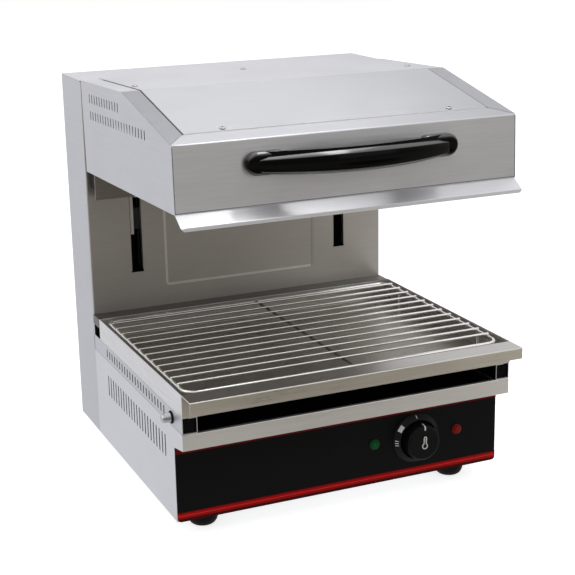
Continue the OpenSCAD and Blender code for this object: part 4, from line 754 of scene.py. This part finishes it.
# a pan head with a cross recess, standing on z = 0
def makeScrewHead():
    radius, proud = screw["head"] / 2, screw["proud"]
    head = turned([(0, -1.5), (1.6, -1.5), (1.6, 0), (radius - 0.1, 0), (radius, 0.15), (radius, 0.75),
                   (radius - 0.35, 1.25), (radius - 1.0, 1.7), (radius - 1.9, proud - 0.05), (0, proud)], 32)
    bmesh.ops.recalc_face_normals(head, faces=head.faces)
    cutter = bmesh.new()
    for size in ((screw["slotLength"], screw["slot"]), (screw["slot"], screw["slotLength"])):
        made = bmesh.ops.create_cube(cutter, size=1)["verts"]
        bmesh.ops.scale(cutter, vec=(size[0] * mm, size[1] * mm, 2 * screw["slotDepth"] * mm), verts=made)
        bmesh.ops.translate(cutter, vec=(0, 0, proud * mm), verts=made)
    meshes = [toMesh("head", head), toMesh("cut", cutter)]
    solid, tool = [bpy.data.objects.new(mesh.name, mesh) for mesh in meshes]
    for item in (solid, tool):
        bpy.context.scene.collection.objects.link(item)
    cut = solid.modifiers.new("cross", "BOOLEAN")
    cut.object, cut.operation, cut.use_self = tool, "DIFFERENCE", True
    bpy.context.view_layer.update()
    done = bpy.data.meshes.new_from_object(solid.evaluated_get(bpy.context.evaluated_depsgraph_get()))
    for item, mesh in zip((solid, tool), meshes):
        bpy.data.objects.remove(item)
        bpy.data.meshes.remove(mesh)
    return done


screwMesh = makeScrewHead()


def addScrews(name, places, body, slotName, replaced, finish=None):
    shape = bmesh.new()
    for place in places:
        one = bmesh.new()
        one.from_mesh(screwMesh)
        bmesh.ops.transform(one, matrix=place, verts=one.verts)
        joinShapes([shape, one])
    addPiece(name, shape, body, slotName, replaced, 30, finish)


coverScrews = []
for x, forward in screw["cover"]:
    lie = Matrix.Identity(4) if forward < roof["bend"] else Matrix.Rotation(atan(roof["slope"]), 4, "X")
    place = Matrix.Translation((x * mm, -forward * mm, (roofAt(forward) + roof["coverThick"]) * mm))
    twist = Matrix.Rotation(radians(x * screw["coverTwist"] + 20), 4, "Z")
    coverScrews.append(hoodPlace @ place @ lie @ twist)
addScrews("coverScrews", coverScrews, "hood", "bright_chrome", ["cover_screws"], "screw_steel")
rearScrews = []
for side in (-1, 1):
    for i in range(screw["rearRows"]):
        z = screw["rearLow"] + i * screw["rearPitch"]
        place = Matrix.Translation((side * screw["rearX"] * mm, coverY * mm, z * mm))
        twist = Matrix.Rotation(radians(31 * i + 10 * side), 4, "Z")
        rearScrews.append(place @ Matrix.Rotation(-pi / 2, 4, "X") @ twist)
addScrews("rearCoverScrews", rearScrews, "stand", "zinc", ["rear_cover_screws"])
print("screws are made")


grid = {"halfWidth": 215.3, "rear": 128.2, "front": 444.8, "height": 197.2, "frame": 5.0, "rod": 3.5,
        "corner": 16.0, "firstRod": 148.2, "pitch": 24.5, "rods": 12, "rodHeight": 201.05, "past": 1.0,
        "crossX": 6.0, "crossHeight": 197.85, "legLow": 173.0, "bead": 2.0, "beadRise": 2.4}


def makeGrid():
    side, corner, height, rod = grid["halfWidth"], grid["corner"], grid["height"], grid["rod"]
    rear, front = coverY - grid["rear"], coverY - grid["front"]
    loop = (arcPoints((side - corner, rear - corner), corner, 0, 90, 10)
            + arcPoints((-side + corner, rear - corner), corner, 90, 180, 10)
            + arcPoints((-side + corner, front + corner), corner, 180, 270, 10)
            + arcPoints((side - corner, front + corner), corner, 270, 360, 10))
    wires = [wireMesh([(x * mm, y * mm, height * mm) for x, y in loop], grid["frame"], True, 5)]
    rodY = [coverY - grid["firstRod"] - i * grid["pitch"] for i in range(grid["rods"])]
    reach = side + grid["past"]
    for y in rodY:
        wires.append(wireMesh([(x * mm, y * mm, grid["rodHeight"] * mm)
                               for x in (-reach, -reach + 0.5, reach - 0.5, reach)], rod))
    for i in (1, grid["rods"] - 2):
        for x in (-side, side):
            wires.append(wireMesh([(x * mm, rodY[i] * mm, z * mm) for z in (grid["legLow"], height)], rod))
    shape = joinMeshes(wires)
    for y in rodY:  # a weld bead where each rod crosses the frame
        for x in (-side, side):
            bead = bmesh.ops.create_icosphere(shape, subdivisions=2, radius=grid["bead"] * mm)["verts"]
            bmesh.ops.scale(shape, vec=(1.15, 1.2, 0.6), verts=bead)
            bmesh.ops.translate(shape, vec=(x * mm, y * mm, (height + grid["beadRise"]) * mm), verts=bead)
    return shape


# the wire under the rods, from the frame's rear to its front
def makeCrossWire():
    ends = [(grid["crossX"] * mm, (coverY - deep) * mm, grid["crossHeight"] * mm)
            for deep in (grid["rear"], grid["front"])]
    return joinMeshes([wireMesh(ends, grid["rod"])])


addPiece("wireGrid", makeGrid(), "grid", "grid_wire", ["wire_grid"], 40)
# the cross wire's darker, browner finish is painted shade under the rods
addPiece("gridCrossWire", makeCrossWire(), "grid", "grid_wire", (), 40, "tinted_wire")
print("grid is made")


# cables over the pulleys and the heating lead, inside the column; apart is how far the cables' ends stay off
# what holds them
lift = {"cableX": 100.0, "cable": 3.0, "cableD": 70.0, "pulleyRadius": 23.0, "pulleyZ": 492.5, "barTop": 456.5,
        "weightTop": 340.5, "apart": 0.3, "leadX": -155.55, "leadD": 44.0, "lead": 6.4, "leadLow": 39.3,
        "leadHigh": 408.0}


def strand(points, diameter):
    return wireMesh([(x * mm, y * mm, z * mm) for x, y, z in points], diameter, False, 3)


def straight(x, y, low, high, steps=12):
    return [(x, y, low + (high - low) * i / steps) for i in range(steps + 1)]


# lies between the two bodies that it joins, on no body of its own, at one depth and from one height to another
def addStretched(name, strands, slotName, node):
    piece = addPiece(name, joinMeshes(strands), None, slotName, [node], 60)
    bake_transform(piece)


cableY = coverY - lift["cableD"]
pulleyY = cableY + lift["pulleyRadius"]
rearY = pulleyY + lift["pulleyRadius"]
leadY = coverY - lift["leadD"]
top, barEnd, weightEnd = lift["pulleyZ"], lift["barTop"] + lift["apart"], lift["weightTop"] + lift["apart"]
frontTop = top - lift["apart"]
front, rear = [], []
for x in (-lift["cableX"], lift["cableX"]):
    front.append(strand(straight(x, cableY, barEnd, frontTop), lift["cable"]))
    over = [(x, y, z) for y, z in arcPoints((pulleyY, top), lift["pulleyRadius"], 180, 0, 24)]
    rear.append(strand(over + straight(x, rearY, top, weightEnd)[1:], lift["cable"]))
lead = strand(straight(lift["leadX"], leadY, lift["leadLow"], lift["leadHigh"], 24), lift["lead"])
addStretched("frontCables", front, "cable_steel", "lift_cable_front")
addStretched("rearCables", rear, "cable_steel", "lift_cable_rear")
addStretched("columnLead", [lead], "lead_sleeve", "hood_lead_lower")
print("cables are made")


# The camera sees a white studio. Only reflections see another one: pale behind and above, with a darker, slightly
# warm front and dark places on the floor, which are across, forward, inner and outer radius in metres. Each lamp
# has its place, aim, size and watts.
studio = {"floorSize": 14.0, "floor": "#F4F4F4", "floorGlow": 0.75, "floorBack": "#D6D7DB", "floorFade": (-0.5, 0.0),
          "frontDark": "#48423A", "frontPale": "#BAB7B0",
          "darkPlaces": [(0.95, -1.95, 0.3, 0.9), (0.13, -0.9, 0.1, 0.55), (-0.4, -0.8, 0.1, 0.5)],
          "ambient": 0.6, "roomFront": "#8C8780", "roomBack": "#E6E6E9", "roomTop": "#FAFAFC",
          "roomFade": (-0.9, 0.2), "topFade": (0.45, 0.75),
          "lamps": {"topSoftbox": ((0.1, 0.5, 1.9), (0, 0, 0.4), (1.6, 1.2), 6.5),
                    "leftSoftbox": ((-2.0, 0.0, 1.0), (0, 0, 0.3), (1.4, 1.2), 4.0),
                    "handleStrip": ((0.4, -0.3, 1.9), (0.0, -0.27, 0.45), (1.3, 0.2), 3.0),
                    "frontFill": ((0.9, -2.0, 1.0), (0, 0, 0.3), (1.2, 1.0), 2.0)}}


# what reflections see: a ramp from the dark front to the pale back, along a slanting direction
def roomShade(tree, coordinate, aim, fade, front, back):
    place = addNode(tree, "ShaderNodeTexCoord")
    along = addNode(tree, "ShaderNodeVectorMath", {"operation": "DOT_PRODUCT", 1: aim},
                    {0: place.outputs[coordinate]})
    share = addNode(tree, "ShaderNodeMapRange", {"interpolation_type": "SMOOTHSTEP", 1: fade[0], 2: fade[1]},
                    {0: along.outputs["Value"]})
    return addNode(tree, "ShaderNodeMix", {"data_type": "RGBA", 7: linear(back)}, {0: share.outputs[0], 6: front})


# the front of the floor is darkest in soft round patches
def frontPatch(tree):
    place = addNode(tree, "ShaderNodeTexCoord")
    share = None
    for x, y, inner, outer in studio["darkPlaces"]:
        away = addNode(tree, "ShaderNodeVectorMath", {"operation": "DISTANCE", 1: (x, y, 0)},
                       {0: place.outputs["Object"]})
        pale = addNode(tree, "ShaderNodeMapRange", {"interpolation_type": "SMOOTHSTEP", 1: inner, 2: outer},
                       {0: away.outputs["Value"]})
        if share:
            pale = addNode(tree, "ShaderNodeMath", {"operation": "MINIMUM"}, {0: share.outputs[0], 1: pale.outputs[0]})
        share = pale
    return addNode(tree, "ShaderNodeMix", {"data_type": "RGBA", 6: linear(studio["frontDark"]),
                                           7: linear(studio["frontPale"])}, {0: share.outputs[0]})


def reflectedRay(tree, rays):
    return addNode(tree, "ShaderNodeMath", {"operation": "MAXIMUM"},
                   {0: rays.outputs["Is Glossy Ray"], 1: rays.outputs["Is Transmission Ray"]})


def addFloor():
    shape = bmesh.new()
    bmesh.ops.create_grid(shape, x_segments=1, y_segments=1, size=studio["floorSize"] / 2)
    floor = bpy.data.objects.new("floor", toMesh("floor", shape))
    bpy.context.scene.collection.objects.link(floor)
    material, tree, shader = newMaterial("palePaperFloor", {"Base Color": linear(studio["floor"]), "Roughness": 0.9,
                                                            "Specular IOR Level": 0.1})
    rays = addNode(tree, "ShaderNodeLightPath")
    glow = addNode(tree, "ShaderNodeEmission", {"Color": (1, 1, 1, 1), "Strength": studio["floorGlow"]})
    lit = addNode(tree, "ShaderNodeAddShader", {}, {0: shader.outputs[0], 1: glow.outputs[0]})
    seen = addNode(tree, "ShaderNodeMixShader", {}, {0: rays.outputs["Is Camera Ray"], 1: shader.outputs[0],
                                                     2: lit.outputs[0]})
    shade = roomShade(tree, "Object", (0, 1, 0), studio["floorFade"], frontPatch(tree).outputs[2],
                      studio["floorBack"])
    mirrored = addNode(tree, "ShaderNodeEmission", {}, {"Color": shade.outputs[2]})
    pick = addNode(tree, "ShaderNodeMixShader", {}, {0: reflectedRay(tree, rays).outputs[0], 1: seen.outputs[0],
                                                     2: mirrored.outputs[0]})
    tree.links.new(pick.outputs[0], tree.nodes["Material Output"].inputs["Surface"])
    floor.data.materials.append(material)


def addLamp(name, place, aim, size, watts):
    light = bpy.data.objects.new(name, bpy.data.lights.new(name, "AREA"))
    bpy.context.scene.collection.objects.link(light)
    light.data.shape, light.data.size, light.data.size_y = "RECTANGLE", size[0], size[1]
    light.data.energy = watts
    turn = (Vector(aim) - Vector(place)).to_track_quat("-Z", "Y")
    light.matrix_world = Matrix.Translation(place) @ turn.to_matrix().to_4x4()


def addWorld():
    world = bpy.data.worlds.new("paleStudio")
    bpy.context.scene.world = world
    world.use_nodes = True
    tree = world.node_tree
    white = tree.nodes["Background"]
    white.inputs["Color"].default_value = (1, 1, 1, 1)
    rays = addNode(tree, "ShaderNodeLightPath")
    warm = addNode(tree, "ShaderNodeRGB")
    warm.outputs[0].default_value = linear(studio["roomFront"])
    shade = roomShade(tree, "Generated", (0, 1, 1.5), studio["roomFade"], warm.outputs[0], studio["roomBack"])
    place = addNode(tree, "ShaderNodeTexCoord")
    height = addNode(tree, "ShaderNodeSeparateXYZ", {}, {"Vector": place.outputs["Generated"]})
    low, high = studio["topFade"]
    upward = addNode(tree, "ShaderNodeMapRange", {1: low, 2: high}, {0: height.outputs["Z"]})
    shade = addNode(tree, "ShaderNodeMix", {"data_type": "RGBA", 7: linear(studio["roomTop"])},
                    {0: upward.outputs[0], 6: shade.outputs[2]})
    level = addNode(tree, "ShaderNodeMapRange", {3: studio["ambient"], 4: 1.0},
                    {0: reflectedRay(tree, rays).outputs[0]})
    room = addNode(tree, "ShaderNodeBackground", {}, {"Color": shade.outputs[2], "Strength": level.outputs[0]})
    pick = addNode(tree, "ShaderNodeMixShader", {}, {0: rays.outputs["Is Camera Ray"], 1: room.outputs[0],
                                                     2: white.outputs[0]})
    tree.links.new(pick.outputs[0], tree.nodes["World Output"].inputs["Surface"])


addFloor()
addWorld()
for name, (place, aim, size, watts) in studio["lamps"].items():
    addLamp(name, place, aim, size, watts)
bpy.context.scene.view_settings.view_transform = "Standard"
print("floor and light are set")
